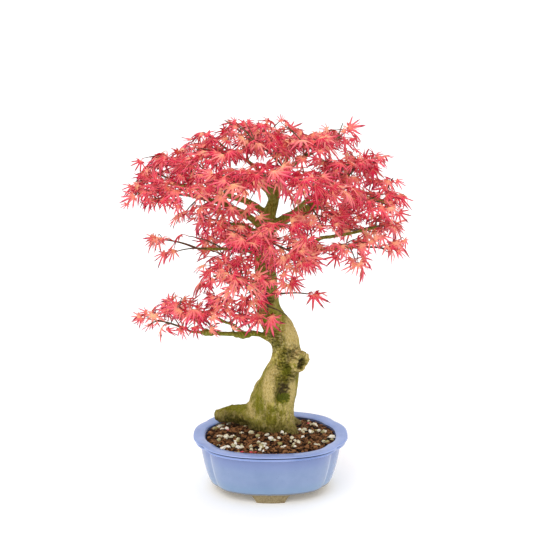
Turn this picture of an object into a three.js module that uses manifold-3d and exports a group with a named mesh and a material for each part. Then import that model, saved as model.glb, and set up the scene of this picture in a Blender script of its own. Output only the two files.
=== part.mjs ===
// A red-leaved Japanese maple grown as a bonsai, in a glazed oval pot that stands on four clay feet.
// Units are millimetres and +Z is up. The tree and its pot are modelled round the middle of the pot, and
// the finished group is moved so that its origin lies under the middle of the whole plant, on the table.
import * as THREE from "three";
import { mergeVertices } from "three/addons/utils/BufferGeometryUtils.js";
import Module from "manifold-3d";

const wasm = await Module();
wasm.setup();

// Driving dimensions

const GAP = 0.35; // clear space between two pieces that touch
const FOOT_HEIGHT = 11;
const RIM_HEIGHT = 78;
const FLOOR_TOP = 17;
const DRAIN_HOLE = { radius: 9, offset: 32, sides: 10 };
const DRAIN_MESH = { side: 27, thickness: 1.4, holes: 2, hole: 8.5 };
const SOIL_EDGE = 73.5;
const SOIL_MOUND = 8.5;
const LEAF_LENGTH = 29; // from the stalk to the tip of the middle lobe
const LEAF_THICKNESS = 2.6;
const STALK_TAPER = 0.34; // the stalk's thickness on the stem, as a share of that under the blade
const CROWN_CENTRE = new THREE.Vector3(0, 0, 340);

// The pot's outline is a squarish oval with four lobes. Each row gives its half width and half depth at
// one height, first up the outside and then down the inside.
const OUTSIDE = [
  { z: FOOT_HEIGHT, width: 81.5, depth: 57.5 },
  { z: 22, width: 86, depth: 62 },
  { z: 38, width: 90.5, depth: 66.5 },
  { z: 56, width: 94, depth: 70.5 },
  { z: 70.5, width: 96, depth: 73 },
  { z: 71.5, width: 100, depth: 77 },
  { z: 74.5, width: 101, depth: 78 },
  { z: 75.2, width: 104, depth: 81 },
  { z: 77, width: 105, depth: 82 },
  { z: RIM_HEIGHT, width: 103.5, depth: 80.5 },
];
const INSIDE = [
  { z: RIM_HEIGHT - 0.3, width: 90, depth: 67.5 },
  { z: 75, width: 88, depth: 65.5 },
  { z: 26, width: 80, depth: 57 },
  { z: FLOOR_TOP, width: 71, depth: 48 },
];
const ROUNDNESS = 2.35; // the power of the oval, which is 2 for an ellipse and more for a squarer shape
const CREASE = { turn: 30, depth: 0.035 }; // where two lobes meet, in degrees round the oval
const FRONT_FOOT = { top: 28.5, bottom: 19.5, out: 57, slope: 1, depth: 11, bend: 92 };
const SIDE_FOOT = { top: 20, bottom: 15, out: 75, slope: 9, depth: 14, bend: 60 };

// Wood: each limb is a list of points x, y, z with the limb's radius there.
const TRUNK = [
  [4, 17, 58, 27], [4, 17, 78, 27], [2, 16, 94, 27.5], [2, 14, 110, 28], [5, 12, 127, 28],
  [9, 10, 144, 26], [13, 8, 159, 23.5], [18, 7, 175, 20.5], [21, 6, 190, 19], [20, 5, 203, 19],
  [15, 4, 217, 19.8], [8, 4, 231, 19], [1, 3, 244, 17.5], [-3, 2, 257, 16], [-5, 2, 271, 15.3],
  [-6, 2, 288, 14.6], [-7, 2, 306, 13.9], [-8, 2, 325, 13.1], [-8, 2, 343, 12.3], [-7, 2, 360, 11.4],
  [-4, 3, 377, 9.6], [2, 3, 396, 7.4], [8, 3, 416, 6], [16, 2, 439, 4.5], [21, 0, 462, 3],
  [19, 0, 482, 1.6],
];
const TRUNK_SIDES = 14;
const FLARE_RINGS = 5; // the first trunk rings, which the roots swell
const FLARE = [
  { angle: 185, reach: 0.42, width: 0.5 },
  { angle: 335, reach: 0.16, width: 0.5 },
  { angle: 265, reach: 0.06, width: 0.4 },
  { angle: 60, reach: 0.1, width: 0.5 },
  { angle: 125, reach: 0.14, width: 0.5 },
];
const ROOTS = [
  [[-2, 17, 100, 24], [-26, 23, 98, 20], [-44, 29, 95, 15.5], [-61, 33, 92, 12], [-75, 34, 89, 9.5]],
  [[14, 8, 88, 14], [32, -6, 76, 9], [46, -16, 62, 5]],
  [[16, 26, 88, 14], [36, 34, 76, 8], [50, 40, 62, 4.5]],
  [[0, 32, 88, 13], [-6, 46, 74, 8], [-10, 54, 60, 4.5]],
];
const LIMBS = {
  left_low: [[4, 2, 210, 7], [-17, -5, 222, 4.6], [-37, -12, 224, 4], [-60, -16, 226, 3.4],
    [-83, -18, 228, 3], [-104, -18, 229, 1.8]],
  left_mid: [[-6, 0, 286, 5], [-31, -12, 299, 3.4], [-54, -20, 304, 2.6], [-74, -24, 307, 1.6]],
  left_long: [[-7, 4, 326, 4.4], [-40, 12, 334, 2.8], [-74, 16, 333, 2.2], [-98, 16, 334, 1.5]],
  left_thin: [[-7, 0, 352, 4], [-32, -12, 371, 2.6], [-52, -20, 376, 2], [-68, -24, 378, 1.4]],
  left_arm: [[-6, 2, 362, 7.4], [-23, -6, 378, 5.8], [-38, -18, 391, 5], [-57, -32, 404, 4.1],
    [-83, -42, 413, 3.1], [-109, -48, 420, 1.9]],
  left_high: [[-2, 4, 380, 7], [-27, 12, 396, 5.8], [-49, 20, 402, 5], [-77, 30, 408, 4],
    [-107, 38, 413, 3], [-132, 40, 416, 1.9]],
  right_arm: [[-4, 0, 362, 8.4], [23, 4, 379, 7.5], [42, 6, 385, 7], [61, 6, 399, 6], [82, 6, 415, 5],
    [100, 8, 434, 3.6], [105, 10, 454, 2]],
  right_low: [[-4, 0, 314, 6.4], [28, -8, 330, 4.7], [55, -14, 339, 3.9], [77, -16, 341, 3.1],
    [96, -16, 343, 2.4], [122, -14, 343, 1.6]],
  right_mid: [[53, -14, 338, 3.6], [61, -12, 353, 2.9], [82, -6, 356, 2.5], [114, 2, 360, 2],
    [138, 8, 365, 1.4]],
  right_far: [[80, 6, 413, 4], [108, 2, 410, 2.9], [134, -2, 404, 2.2], [155, -4, 399, 1.4]],
  front_low: [[-4, 0, 262, 4.4], [-15, -26, 280, 2.7], [-26, -48, 292, 1.6]],
  front_mid: [[-7, 0, 330, 5], [-9, -32, 352, 3.5], [-9, -62, 369, 2.6], [-5, -84, 381, 1.6]],
  front_high: [[4, 3, 400, 5], [-2, -30, 424, 3.5], [-12, -60, 438, 2.6], [-22, -84, 446, 1.6]],
  front_right: [[24, 4, 379, 5], [38, -28, 401, 3.5], [51, -58, 420, 2.6], [59, -82, 432, 1.6]],
  back_low: [[-7, 2, 316, 5], [-14, 42, 321, 3.3], [-22, 80, 321, 1.8]],
  back_high: [[3, 3, 398, 5], [-5, 42, 405, 3.3], [-15, 82, 407, 1.8]],
  back_right: [[26, 5, 380, 5], [48, 44, 384, 3.3], [66, 82, 385, 1.8]],
  top_left: [[7, 3, 412, 4.8], [-11, -2, 438, 3.5], [-33, -6, 457, 2.5], [-53, -8, 468, 1.5]],
  top_right: [[15, 2, 435, 4], [37, -2, 456, 3], [60, -5, 469, 2.3], [80, -5, 476, 1.5]],
};
const LIMB_SIDES = 6;
const CALLUS = { at: [34, -5, 184], axis: [0.74, -0.66, -0.12] }; // the healed stump of a cut branch
const HOLLOW = { at: [16, -19, 142], size: [7.5, 7, 14] }; // the scar in the front of the trunk

// Leafy sprays: the limb that carries each one, how far along it, the tip of its stem and its leaves.
const SPRAYS = {
  left_edge: ["left_high", 1, [-162, -8, 418], 6],
  left_edge_front: ["left_arm", 1, [-146, -66, 417], 6],
  left_edge_back: ["left_high", 0.9, [-161, 62, 427], 6],
  left_shoulder: ["left_high", 0.78, [-132, 6, 457], 6],
  left_shoulder_front: ["left_arm", 0.88, [-111, -94, 436], 6],
  left_shoulder_mid: ["left_arm", 0.74, [-103, -52, 455], 6],
  top_left_front: ["top_left", 0.8, [-75, -68, 470], 6],
  top_left_tip: ["top_left", 1, [-80, -18, 488], 6],
  top_left_back: ["left_high", 0.62, [-100, 76, 459], 6],
  top_left_mid: ["top_left", 0.6, [-40, 30, 492], 6],
  top_front: ["trunk", 0.93, [-18, -62, 486], 6],
  top_tip: ["trunk", 0.97, [-14, -12, 496], 6],
  top_back: ["trunk", 0.9, [-3, 74, 482], 6],
  top_right_front: ["top_right", 0.6, [41, -58, 486], 6],
  top_right_back: ["top_right", 0.7, [63, 66, 473], 6],
  top_right_tip: ["top_right", 0.7, [94, 2, 490], 6],
  right_shoulder_front: ["right_arm", 0.75, [88, -60, 461], 6],
  right_shoulder: ["right_arm", 0.82, [125, -4, 453], 6],
  right_shoulder_back: ["right_arm", 0.85, [125, 66, 440], 6],
  right_edge: ["right_far", 1, [148, -8, 425], 6],
  right_edge_front: ["right_far", 0.6, [126, -64, 410], 6],
  right_edge_back: ["right_far", 0.8, [149, 50, 388], 6],
  front_left_high: ["front_high", 0.85, [-47, -112, 449], 6],
  front_centre_high: ["front_high", 1, [-4, -126, 459], 6],
  front_right_high: ["front_right", 1, [39, -120, 451], 6],
  front_right_edge: ["front_right", 0.7, [79, -92, 430], 6],
  front_right_low: ["front_right", 0.5, [63, -92, 390], 6],
  front_centre: ["front_mid", 1, [18, -112, 395], 6],
  front_centre_low: ["front_mid", 0.5, [37, -68, 343], 6],
  front_left: ["front_mid", 0.55, [-38, -86, 369], 6],
  right_mid_tip: ["right_mid", 0.8, [154, 28, 361], 6],
  right_low_tip: ["right_low", 1, [155, -20, 341], 6],
  right_low_front: ["right_low", 0.7, [102, -66, 358], 6],
  right_low_back: ["right_mid", 0.7, [124, 64, 344], 6],
  left_thin_tip: ["left_thin", 0.6, [-84, -36, 385], 5],
  left_mid_tip: ["left_mid", 0.85, [-73, -36, 323], 6],
  left_mid_back: ["left_mid", 0.6, [-68, 40, 325], 6],
  left_long_tip: ["left_long", 1, [-142, 14, 346], 4],
  front_low_tip: ["front_low", 1, [-36, -80, 318], 6],
  low_left_tip: ["left_low", 1, [-158, -26, 249], 6],
  low_left_top: ["left_low", 0.82, [-127, 24, 256], 6],
  low_left_front: ["left_low", 0.7, [-96, -58, 269], 6],
  low_left_near: ["left_low", 0.5, [-58, -36, 276], 6],
  low_front_twig: ["trunk", 0.6, [-4, -38, 263], 2],
  low_right_twig: ["trunk", 0.56, [48, -34, 286], 2],
  back_left_high: ["back_high", 1, [-59, 122, 404], 6],
  back_right_high: ["back_right", 1, [52, 122, 404], 6],
  back_low_tip: ["back_low", 1, [-20, 118, 337], 6],
  back_left_low: ["back_low", 0.6, [-77, 78, 327], 6],
  back_right_low: ["back_right", 0.65, [93, 96, 356], 6],
  right_crown_mid: ["right_arm", 0.9, [102, -36, 442], 6],
  top_right_mid: ["top_right", 0.4, [58, -20, 488], 6],
  low_left_trunk: ["left_low", 0.28, [-36, -50, 264], 4],
  centre_low_right: ["right_low", 0.12, [26, -44, 326], 4],
};
// Pairs of leaves up a stem: the distance back from the tip, the turn from the stem and the stalk.
const PAIRS = [
  { back: 0, turn: 36, stalk: 13 },
  { back: 14, turn: 64, stalk: 17 },
  { back: 29, turn: 88, stalk: 22 },
];
const END_STALK = 12;
const STEM_RADIUS = 2;
const NODE_LENGTH = 2.6; // the stretch of a stem that carries a pair of leaves
const STALK_ROOT = 4; // the most that a leaf may share with its own stem, in cubic millimetres
const LEFT_FACE = 0; // the faces of a stem's four sides
const RIGHT_FACE = 2;
const SEED = 7;

// Small tools

// A repeatable random number from 0 to 1, for a spray, one of its leaves and one of that leaf's draws.
function draw(spray, leaf, number) {
  const wave = Math.sin(spray * 127.1 + leaf * 311.7 + number * 74.7 + SEED) * 43758.5453;
  return wave - Math.floor(wave);
}

function solidOf(geometry) {
  const bare = new THREE.BufferGeometry().setAttribute("position", geometry.getAttribute("position"));
  bare.setIndex(geometry.index);
  const merged = mergeVertices(bare, 1e-4);
  return new wasm.Manifold(
    new wasm.Mesh({
      numProp: 3,
      vertProperties: new Float32Array(merged.attributes.position.array),
      triVerts: new Uint32Array(merged.index.array),
    }),
  );
}

function geometryOf(solid) {
  const mesh = solid.getMesh();
  const geometry = new THREE.BufferGeometry();
  geometry.setAttribute("position", new THREE.BufferAttribute(mesh.vertProperties, 3));
  geometry.setIndex(new THREE.BufferAttribute(mesh.triVerts, 1));
  const faceted = geometry.toNonIndexed();
  faceted.computeVertexNormals();
  return faceted;
}

function solidFrom(points, faces) {
  const geometry = new THREE.BufferGeometry().setFromPoints(points);
  geometry.setIndex(faces.flat());
  return solidOf(geometry);
}

function largestBody(solid) {
  const bodies = solid.decompose();
  return bodies.reduce((best, body) => (body.volume() > best.volume() ? body : best));
}

// Rings of equal count, joined in turn and closed by a fan round the middle of each end ring.
function loft(rings) {
  const count = rings[0].length;
  const points = rings.flat();
  const faces = [];
  for (let r = 0; r + 1 < rings.length; r += 1) {
    for (let i = 0; i < count; i += 1) {
      const a = r * count + i;
      const b = r * count + ((i + 1) % count);
      faces.push([a, b, b + count], [a, b + count, a + count]);
    }
  }
  const middle = (ring) => ring.reduce((sum, p) => sum.add(p), new THREE.Vector3()).divideScalar(count);
  const last = (rings.length - 1) * count;
  if (count < 6) {
    for (let i = 1; i + 1 < count; i += 1) {
      faces.push([0, i + 1, i], [last, last + i, last + i + 1]);
    }
    return solidFrom(points, faces);
  }
  points.push(middle(rings[0]), middle(rings[rings.length - 1]));
  for (let i = 0; i < count; i += 1) {
    const next = (i + 1) % count;
    faces.push([points.length - 2, next, i], [points.length - 1, last + i, last + next]);
  }
  return solidFrom(points, faces);
}

// A limb with round sections square to its path. Every section starts from the same side of the path.
function limb(path, sides, grow = 0, radiusAt = (radius) => radius) {
  const places = path.map(([x, y, z]) => new THREE.Vector3(x, y, z));
  const whole = places[places.length - 1].clone().sub(places[0]);
  const level = Math.abs(whole.x) > Math.abs(whole.z);
  const start = level ? new THREE.Vector3(0, 0, 1) : new THREE.Vector3(1, 0, 0);
  const rings = places.map((place, i) => {
    const before = places[Math.max(i - 1, 0)];
    const after = places[Math.min(i + 1, places.length - 1)];
    const along = after.clone().sub(before).normalize();
    const side = start.clone().addScaledVector(along, -along.dot(start)).normalize();
    const other = along.clone().cross(side);
    const further = (i === places.length - 1 ? grow : 0) - (i === 0 ? grow : 0);
    return Array.from({ length: sides }, (_, k) => {
      const angle = (k / sides) * 2 * Math.PI;
      const radius = radiusAt(path[i][3], i, angle) + grow;
      return place
        .clone()
        .addScaledVector(side, Math.cos(angle) * radius)
        .addScaledVector(other, Math.sin(angle) * radius)
        .addScaledVector(along, further);
    });
  });
  return loft(rings);
}

function pointOn(path, share) {
  const place = share * (path.length - 1);
  const i = Math.min(Math.floor(place), path.length - 2);
  const from = new THREE.Vector3(...path[i]);
  return from.lerp(new THREE.Vector3(...path[i + 1]), place - i);
}

// Pot

const LONG_LOBE = 11; // edges of the outline in a lobe
const END_LOBE = 7;

// A lobe meets the next one at a crease, where the oval dips inwards.
function outline({ z, width, depth }, inset = 0) {
  const corner = THREE.MathUtils.degToRad(CREASE.turn);
  const lobe = (from, to, steps) =>
    Array.from({ length: steps }, (_, k) => from + ((to - from) * k) / steps);
  const turns = [
    ...lobe(-corner, corner, END_LOBE),
    ...lobe(corner, Math.PI - corner, LONG_LOBE),
    ...lobe(Math.PI - corner, Math.PI + corner, END_LOBE),
    ...lobe(Math.PI + corner, 2 * Math.PI - corner, LONG_LOBE),
  ];
  return turns.map((turn) => {
    const share = (cosine) => Math.sign(cosine) * Math.abs(cosine) ** (2 / ROUNDNESS);
    const quarter = Math.abs(Math.atan2(Math.sin(turn), Math.cos(turn)));
    const away = Math.abs(Math.min(quarter, Math.PI - quarter) - corner);
    const dip = 1 - CREASE.depth * Math.max(0, 1 - away / 0.35) ** 1.5;
    return new THREE.Vector3(
      (width - inset) * share(Math.cos(turn)) * dip,
      (depth - inset) * share(Math.sin(turn)) * dip,
      z,
    );
  });
}

// One foot: a bracket under the wall, wider at the top, that follows the curve of the pot's bottom edge.
function foot(turn, { top, bottom, out, slope, depth, bend }) {
  const slices = 4;
  const rings = Array.from({ length: slices + 1 }, (_, k) => {
    const share = (k / slices) * 2 - 1;
    const corners = [
      [bottom, slope, 0],
      [bottom, Math.max(depth, slope + 8), 0],
      [top, depth, FOOT_HEIGHT + 2],
      [top, 0, FOOT_HEIGHT + 2],
    ];
    return corners.map(([half, inward, z]) => {
      const along = share * half;
      const sagitta = bend - Math.sqrt(bend * bend - along * along);
      return new THREE.Vector3(along, inward + sagitta - out, z);
    });
  });
  const geometry = geometryOf(loft(rings));
  geometry.rotateZ((turn * Math.PI) / 2);
  return solidOf(geometry);
}

function drainHole(side) {
  const ring = (z) =>
    Array.from({ length: DRAIN_HOLE.sides }, (_, k) => {
      const angle = (k / DRAIN_HOLE.sides) * 2 * Math.PI;
      return new THREE.Vector3(
        side * DRAIN_HOLE.offset + DRAIN_HOLE.radius * Math.cos(angle),
        DRAIN_HOLE.radius * Math.sin(angle),
        z,
      );
    });
  return loft([ring(FOOT_HEIGHT - 2), ring(FLOOR_TOP + 2)]);
}

function makePot() {
  const shell = loft([...OUTSIDE, ...INSIDE].map((row) => outline(row)));
  const feet = [0, 1, 2, 3].map((turn) => foot(turn, turn % 2 ? SIDE_FOOT : FRONT_FOOT));
  return wasm.Manifold.union([shell, ...feet]).subtract(drainHole(1)).subtract(drainHole(-1));
}

// A square of plastic mesh that lies over a drain hole and keeps the soil in.
function makeDrainMesh(side, grow = 0) {
  const { side: width, thickness, holes, hole } = DRAIN_MESH;
  const height = FLOOR_TOP + GAP + thickness / 2;
  const block = (x, y, across, depth) => {
    const box = new THREE.BoxGeometry(across, across, depth);
    return solidOf(box.translate(side * DRAIN_HOLE.offset + x, y, height));
  };
  const plate = block(0, 0, width + 2 * grow, thickness + 2 * grow);
  if (grow > 0) return plate;
  const places = Array.from({ length: holes }, (_, k) => (k - (holes - 1) / 2) * (width / holes));
  return plate.subtract(
    wasm.Manifold.union(places.flatMap((x) => places.map((y) => block(x, y, hole, 2 * thickness)))),
  );
}

// Soil

const SOIL_RINGS = [1, 0.9, 0.79, 0.68, 0.56, 0.42];
const GRAINS = 26;

function soilHeight(x, y) {
  const share = Math.min(1, Math.hypot(x / INSIDE[1].width, y / INSIDE[1].depth));
  return SOIL_EDGE + SOIL_MOUND * (1 - share ** 1.6);
}

// An uneven eight-faced grain of pumice or baked clay, half sunk in the soil.
function grain(number) {
  const angle = draw(90, number, 1) * 2 * Math.PI;
  const reach = 0.5 + 0.43 * draw(90, number, 2);
  const x = INSIDE[1].width * reach * Math.cos(angle);
  const y = INSIDE[1].depth * reach * Math.sin(angle);
  const size = 3 + 1.8 * draw(90, number, 3);
  const turn = draw(90, number, 4) * Math.PI;
  const geometry = new THREE.OctahedronGeometry(size);
  geometry.scale(1.2, 0.85, 0.8);
  geometry.rotateX(turn);
  geometry.rotateZ(2 * turn);
  geometry.translate(x, y, soilHeight(x, y) + 0.8);
  return solidOf(geometry);
}

function makeSoil(tree) {
  const top = { z: SOIL_EDGE, width: INSIDE[1].width - GAP, depth: INSIDE[1].depth - GAP };
  const base = { ...INSIDE[3], z: FLOOR_TOP + GAP };
  const edge = outline(top, GAP);
  const rings = SOIL_RINGS.map((share, r) =>
    edge.map((p, i) => {
      const x = p.x * share;
      const y = p.y * share;
      const rough = r === 0 ? 0 : 2.6 * (draw(91, r * 50 + i, 1) - 0.5);
      return new THREE.Vector3(x, y, soilHeight(x, y) + rough);
    }),
  );
  const body = loft([outline(base, GAP), outline(INSIDE[2], 2 * GAP), ...rings]);
  const grains = Array.from({ length: GRAINS }, (_, k) => grain(k));
  const meshes = [makeDrainMesh(1, GAP), makeDrainMesh(-1, GAP)];
  const filled = wasm.Manifold.union([body, ...grains]);
  return largestBody(filled.subtract(wasm.Manifold.union([...tree, ...meshes])));
}

// Trunk, roots and limbs

// The root flare swells the trunk's foot towards each surface root and fades as the trunk rises.
function flaredRadius(radius, ring, angle) {
  const fade = Math.max(0, 1 - ring / FLARE_RINGS);
  const swell = FLARE.reduce((sum, root) => {
    const away = Math.atan2(
      Math.sin(angle - THREE.MathUtils.degToRad(root.angle)),
      Math.cos(angle - THREE.MathUtils.degToRad(root.angle)),
    );
    return sum + root.reach * Math.exp(-((away / root.width) ** 2));
  }, 0);
  const ripple = 0.03 * Math.sin(3 * angle + ring * 1.3);
  return radius * (1 + fade * swell + ripple);
}

function wood(grow) {
  const trunk = limb(TRUNK, TRUNK_SIDES, grow, flaredRadius);
  const roots = ROOTS.map((path) => limb(path, LIMB_SIDES + 1, grow));
  const limbs = Object.values(LIMBS).map((path) => limb(path, LIMB_SIDES, grow));
  return wasm.Manifold.union([trunk, ...roots, ...limbs]);
}

// The rolled lip of bark that has closed round a cut branch, with the old wood sunk in its middle.
function callus() {
  const profile = [
    [0, -14], [10, -14], [13.5, -6], [14, 1], [11.5, 6.5], [9.5, 10.5], [7, 11.5], [4.5, 9], [0, 6.5],
  ].map(([r, h]) => new THREE.Vector2(r, h));
  const geometry = new THREE.LatheGeometry(profile, 9);
  const axis = new THREE.Vector3(...CALLUS.axis).normalize();
  geometry.applyQuaternion(new THREE.Quaternion().setFromUnitVectors(new THREE.Vector3(0, 1, 0), axis));
  geometry.translate(...CALLUS.at);
  return solidOf(geometry);
}

function scarHollow() {
  const geometry = new THREE.IcosahedronGeometry(1, 1);
  geometry.scale(...HOLLOW.size);
  geometry.translate(...HOLLOW.at);
  return solidOf(geometry);
}

function burl(x, y, z, size) {
  const geometry = new THREE.IcosahedronGeometry(size, 0);
  geometry.scale(1.3, 0.9, 1);
  geometry.translate(x, y, z);
  return solidOf(geometry);
}

function burls(grow) {
  return [burl(-37, -12, 222, 5.4 + grow), burl(-83, -18, 227.5, 4.4 + grow)];
}

function makeTrunk() {
  return wasm.Manifold.union([wood(0), callus(), ...burls(0)]).subtract(scarHollow());
}

// Leaves and sprays

// One leaf: a hand of five pointed lobes folded down from its middle. The blade's middle stands at the end
// of the stalk, the lobes point along out and to both sides, and the face looks along up. The points are
// the edge from the right of the stalk round to its left, then the middle of the top and of the bottom.
const LOBES = [
  { turn: 78, reach: 0.68, droop: 0.1 },
  { turn: 56, reach: 0.33, droop: 0.02 },
  { turn: 38, reach: 0.93, droop: 0.15 },
  { turn: 19, reach: 0.37, droop: 0.02 },
  { turn: 0, reach: 1, droop: 0.18 },
];
const HALF_LEAF_BASE = 1.6;
const LEAF_EDGE = 2 * LOBES.length + 1;
const LEAF_TOP = LEAF_EDGE;
const LEAF_BOTTOM = LEAF_EDGE + 1;
const STALK_RING = [0, LEAF_TOP, LEAF_EDGE - 1, LEAF_BOTTOM]; // the blade's corners round its stalk

function leafPoints({ foot, out, up, length, stalk }) {
  const side = up.clone().cross(out).normalize();
  const middle = foot.clone().addScaledVector(out, stalk * 0.85).addScaledVector(up, stalk * 0.5);
  const place = (forward, left, rise) =>
    middle.clone().addScaledVector(out, forward).addScaledVector(side, left).addScaledVector(up, rise);
  const lobe = (way) => ({ turn, reach, droop }) => {
    const angle = THREE.MathUtils.degToRad(way * turn);
    return place(Math.cos(angle) * reach * length, Math.sin(angle) * reach * length, -droop * length);
  };
  const base = (way) => place(-0.06 * length, way * HALF_LEAF_BASE, 0);
  const left = LOBES.slice(0, -1).reverse().map(lobe(1));
  const edge = [base(-1), ...LOBES.map(lobe(-1)), ...left, base(1)];
  return [...edge, place(0, 0, LEAF_THICKNESS / 2), place(0, 0, -LEAF_THICKNESS / 2)];
}

function bladeFaces(first) {
  const steps = Array.from({ length: LEAF_EDGE - 1 }, (_, i) => i);
  const topFaces = steps.map((i) => [first + LEAF_TOP, first + i, first + i + 1]);
  const bottomFaces = steps.map((i) => [first + LEAF_BOTTOM, first + i + 1, first + i]);
  return [...topFaces, ...bottomFaces];
}

// The same leaf on its own, closed by a stalk that tapers to the stem, to test where it fits.
function looseLeaf(pose) {
  const points = leafPoints(pose);
  const middle = points[LEAF_TOP].clone().add(points[LEAF_BOTTOM]).multiplyScalar(0.5);
  const root = pose.foot.clone().addScaledVector(middle, -STALK_TAPER);
  const faces = bladeFaces(0);
  const end = points.length;
  points.push(...STALK_RING.map((k) => points[k].clone().multiplyScalar(STALK_TAPER).add(root)));
  STALK_RING.forEach((corner, k) => {
    const next = (k + 1) % 4;
    faces.push([corner, STALK_RING[next], end + next], [corner, end + next, end + k]);
  });
  faces.push([end, end + 1, end + 2], [end, end + 2, end + 3]);
  return solidFrom(points, faces);
}

// How a leaf stands on its stem: it grows away from the stem, spreads towards the outside of the crown
// and lies with its face to the light.
function leafPose({ foot, heading, stalk }, spray, number) {
  const random = (k) => draw(spray, number, k) * 2 - 1;
  const outward = foot.clone().sub(CROWN_CENTRE).normalize();
  const level = new THREE.Vector3(outward.x, outward.y, 0).normalize();
  const out = new THREE.Vector3(0.16 * random(1), 0.16 * random(2), -0.3 + 0.36 * random(3));
  out.addScaledVector(level, 0.25);
  out.add(new THREE.Vector3(heading.x, heading.y, 0.4 * heading.z)).normalize();
  const up = new THREE.Vector3(0.3 * random(4), 0.3 * random(5), 0.5).addScaledVector(outward, 0.5);
  up.addScaledVector(out, -up.dot(out)).normalize();
  const length = LEAF_LENGTH * (1 + 0.16 * random(6));
  return { foot, out, up, length, stalk: stalk * (1 + 0.2 * random(7)) };
}

function boxesMeet(a, b) {
  return [0, 1, 2].every((i) => a.min[i] < b.max[i] && b.min[i] < a.max[i]);
}

const placed = []; // every solid that a new leaf has to stay clear of, with its bounding box

function isClear(solid, spray) {
  const box = solid.boundingBox();
  return placed.every(
    (other) =>
      other.spray === spray || !boxesMeet(box, other.box) || solid.minGap(other.solid, 2 * GAP) >= GAP,
  );
}

function keepClearOf(solid, spray) {
  const box = solid.boundingBox();
  const min = box.min.map((v) => v - GAP);
  const max = box.max.map((v) => v + GAP);
  placed.push({ solid, spray, box: { min, max } });
}

function stemCurve([carrier, share, tip], bend) {
  const root = pointOn(carrier === "trunk" ? TRUNK : LIMBS[carrier], share);
  const end = new THREE.Vector3(...tip);
  const middle = root.clone().lerp(end, 0.5);
  middle.z += bend * root.distanceTo(end);
  return new THREE.QuadraticBezierCurve3(root, middle, end);
}

// A stem is a four-sided rod in short and long stretches. Each short stretch carries a pair of leaves,
// which grow out of its left and right faces.
function stemRings(curve) {
  const length = curve.getLength();
  const pairs = PAIRS.filter(({ back }) => back < length - 8);
  const ends = pairs.flatMap(({ back }) => [back, back + NODE_LENGTH]).reverse();
  return [length, ...ends].map((back) => {
    const t = 1 - back / length;
    const radius = STEM_RADIUS * (1 - 0.35 * t);
    const along = curve.getTangent(t);
    const across = new THREE.Vector3(0, 0, 1).cross(along).setLength(radius);
    const rise = along.clone().cross(across);
    const corner = (a, b) => curve.getPoint(t).addScaledVector(across, a).addScaledVector(rise, b);
    return [corner(-0.7, -0.7), corner(-0.7, 0.7), corner(0.7, 0.7), corner(0.7, -0.7)].reverse();
  });
}

function leafPlaces(curve, rings, count) {
  const pairs = (rings.length - 1) / 2;
  const tip = rings.length - 1;
  const heading = curve.getTangent(1);
  const end = { foot: curve.getPoint(1), heading, stalk: END_STALK, ring: tip, face: 0 };
  const paired = Array.from({ length: Math.min(count, 2 * pairs) }, (_, n) => {
    const pair = PAIRS[Math.floor(n / 2)];
    const way = n % 2 ? -1 : 1;
    const ring = rings.length - 2 - 2 * Math.floor(n / 2);
    const corners = [...rings[ring], ...rings[ring + 1]];
    const foot = corners.reduce((sum, p) => sum.add(p), new THREE.Vector3()).divideScalar(8);
    const along = curve.getTangent(1 - pair.back / curve.getLength());
    const across = new THREE.Vector3(0, 0, 1).cross(along).normalize().multiplyScalar(way);
    const turn = THREE.MathUtils.degToRad(pair.turn);
    const turned = along.multiplyScalar(Math.cos(turn)).addScaledVector(across, Math.sin(turn));
    return { foot, heading: turned, stalk: pair.stalk, ring, face: way > 0 ? LEFT_FACE : RIGHT_FACE };
  });
  return [...paired, end];
}

// The skin of a stem and its leaves, in one piece. Where a leaf grows, four narrow sides run from the
// edge of the stem's face to the blade's four corners, with the least twist.
function spraySkin(rings, leaves) {
  const points = rings.flat();
  const faces = [[0, 2, 1], [0, 3, 2]];
  rings.forEach((_, r) => {
    const tip = r === rings.length - 1;
    for (let k = 0; k < (tip ? 1 : 4); k += 1) {
      const next = (k + 1) % 4;
      const face = (tip ? [0, 1, 2, 3] : [k, next, next + 4, k + 4]).map((corner) => 4 * r + corner);
      const grown = leaves.find((one) => one.ring === r && one.face === k);
      if (grown) {
        growFrom(face, grown.pose, points, faces);
      } else {
        faces.push([face[0], face[1], face[2]], [face[0], face[2], face[3]]);
      }
    }
  });
  return solidFrom(points, faces);
}

function growFrom(face, pose, points, faces) {
  const first = points.length;
  points.push(...leafPoints(pose));
  faces.push(...bladeFaces(first));
  const corners = (start) => face.map((_, i) => first + STALK_RING[(start - i + 4) % 4]);
  const apart = (q, i) => points[q].distanceTo(points[face[i]]);
  const reach = (start) => corners(start).reduce((sum, q, i) => sum + apart(q, i), 0);
  const start = [0, 1, 2, 3].reduce((best, one) => (reach(one) < reach(best) ? one : best));
  const ends = corners(start);
  face.forEach((corner, i) => {
    const after = (i + 1) % 4;
    faces.push([corner, face[after], ends[after]], [corner, ends[after], ends[i]]);
  });
}

const BENDS = [0.1, 0.2, 0, 0.3, -0.1, 0.4, -0.2]; // how far a stem arches up, as a share of its length
const TRIES = 6; // a leaf that would touch another is turned a little and tried again

function growLeaf(place, spray, number, stem, own) {
  for (let attempt = 0; attempt < TRIES; attempt += 1) {
    const pose = leafPose(place, spray, number + 20 * attempt);
    const loose = looseLeaf(pose);
    const shared = (other) => loose.intersect(other).volume();
    const apart = own.every((other) => loose.minGap(other, GAP) > 0 || shared(other) < 0.3);
    if (apart && shared(stem) < STALK_ROOT && isClear(loose, spray)) {
      return { ...place, pose, loose };
    }
  }
  return null;
}

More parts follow.
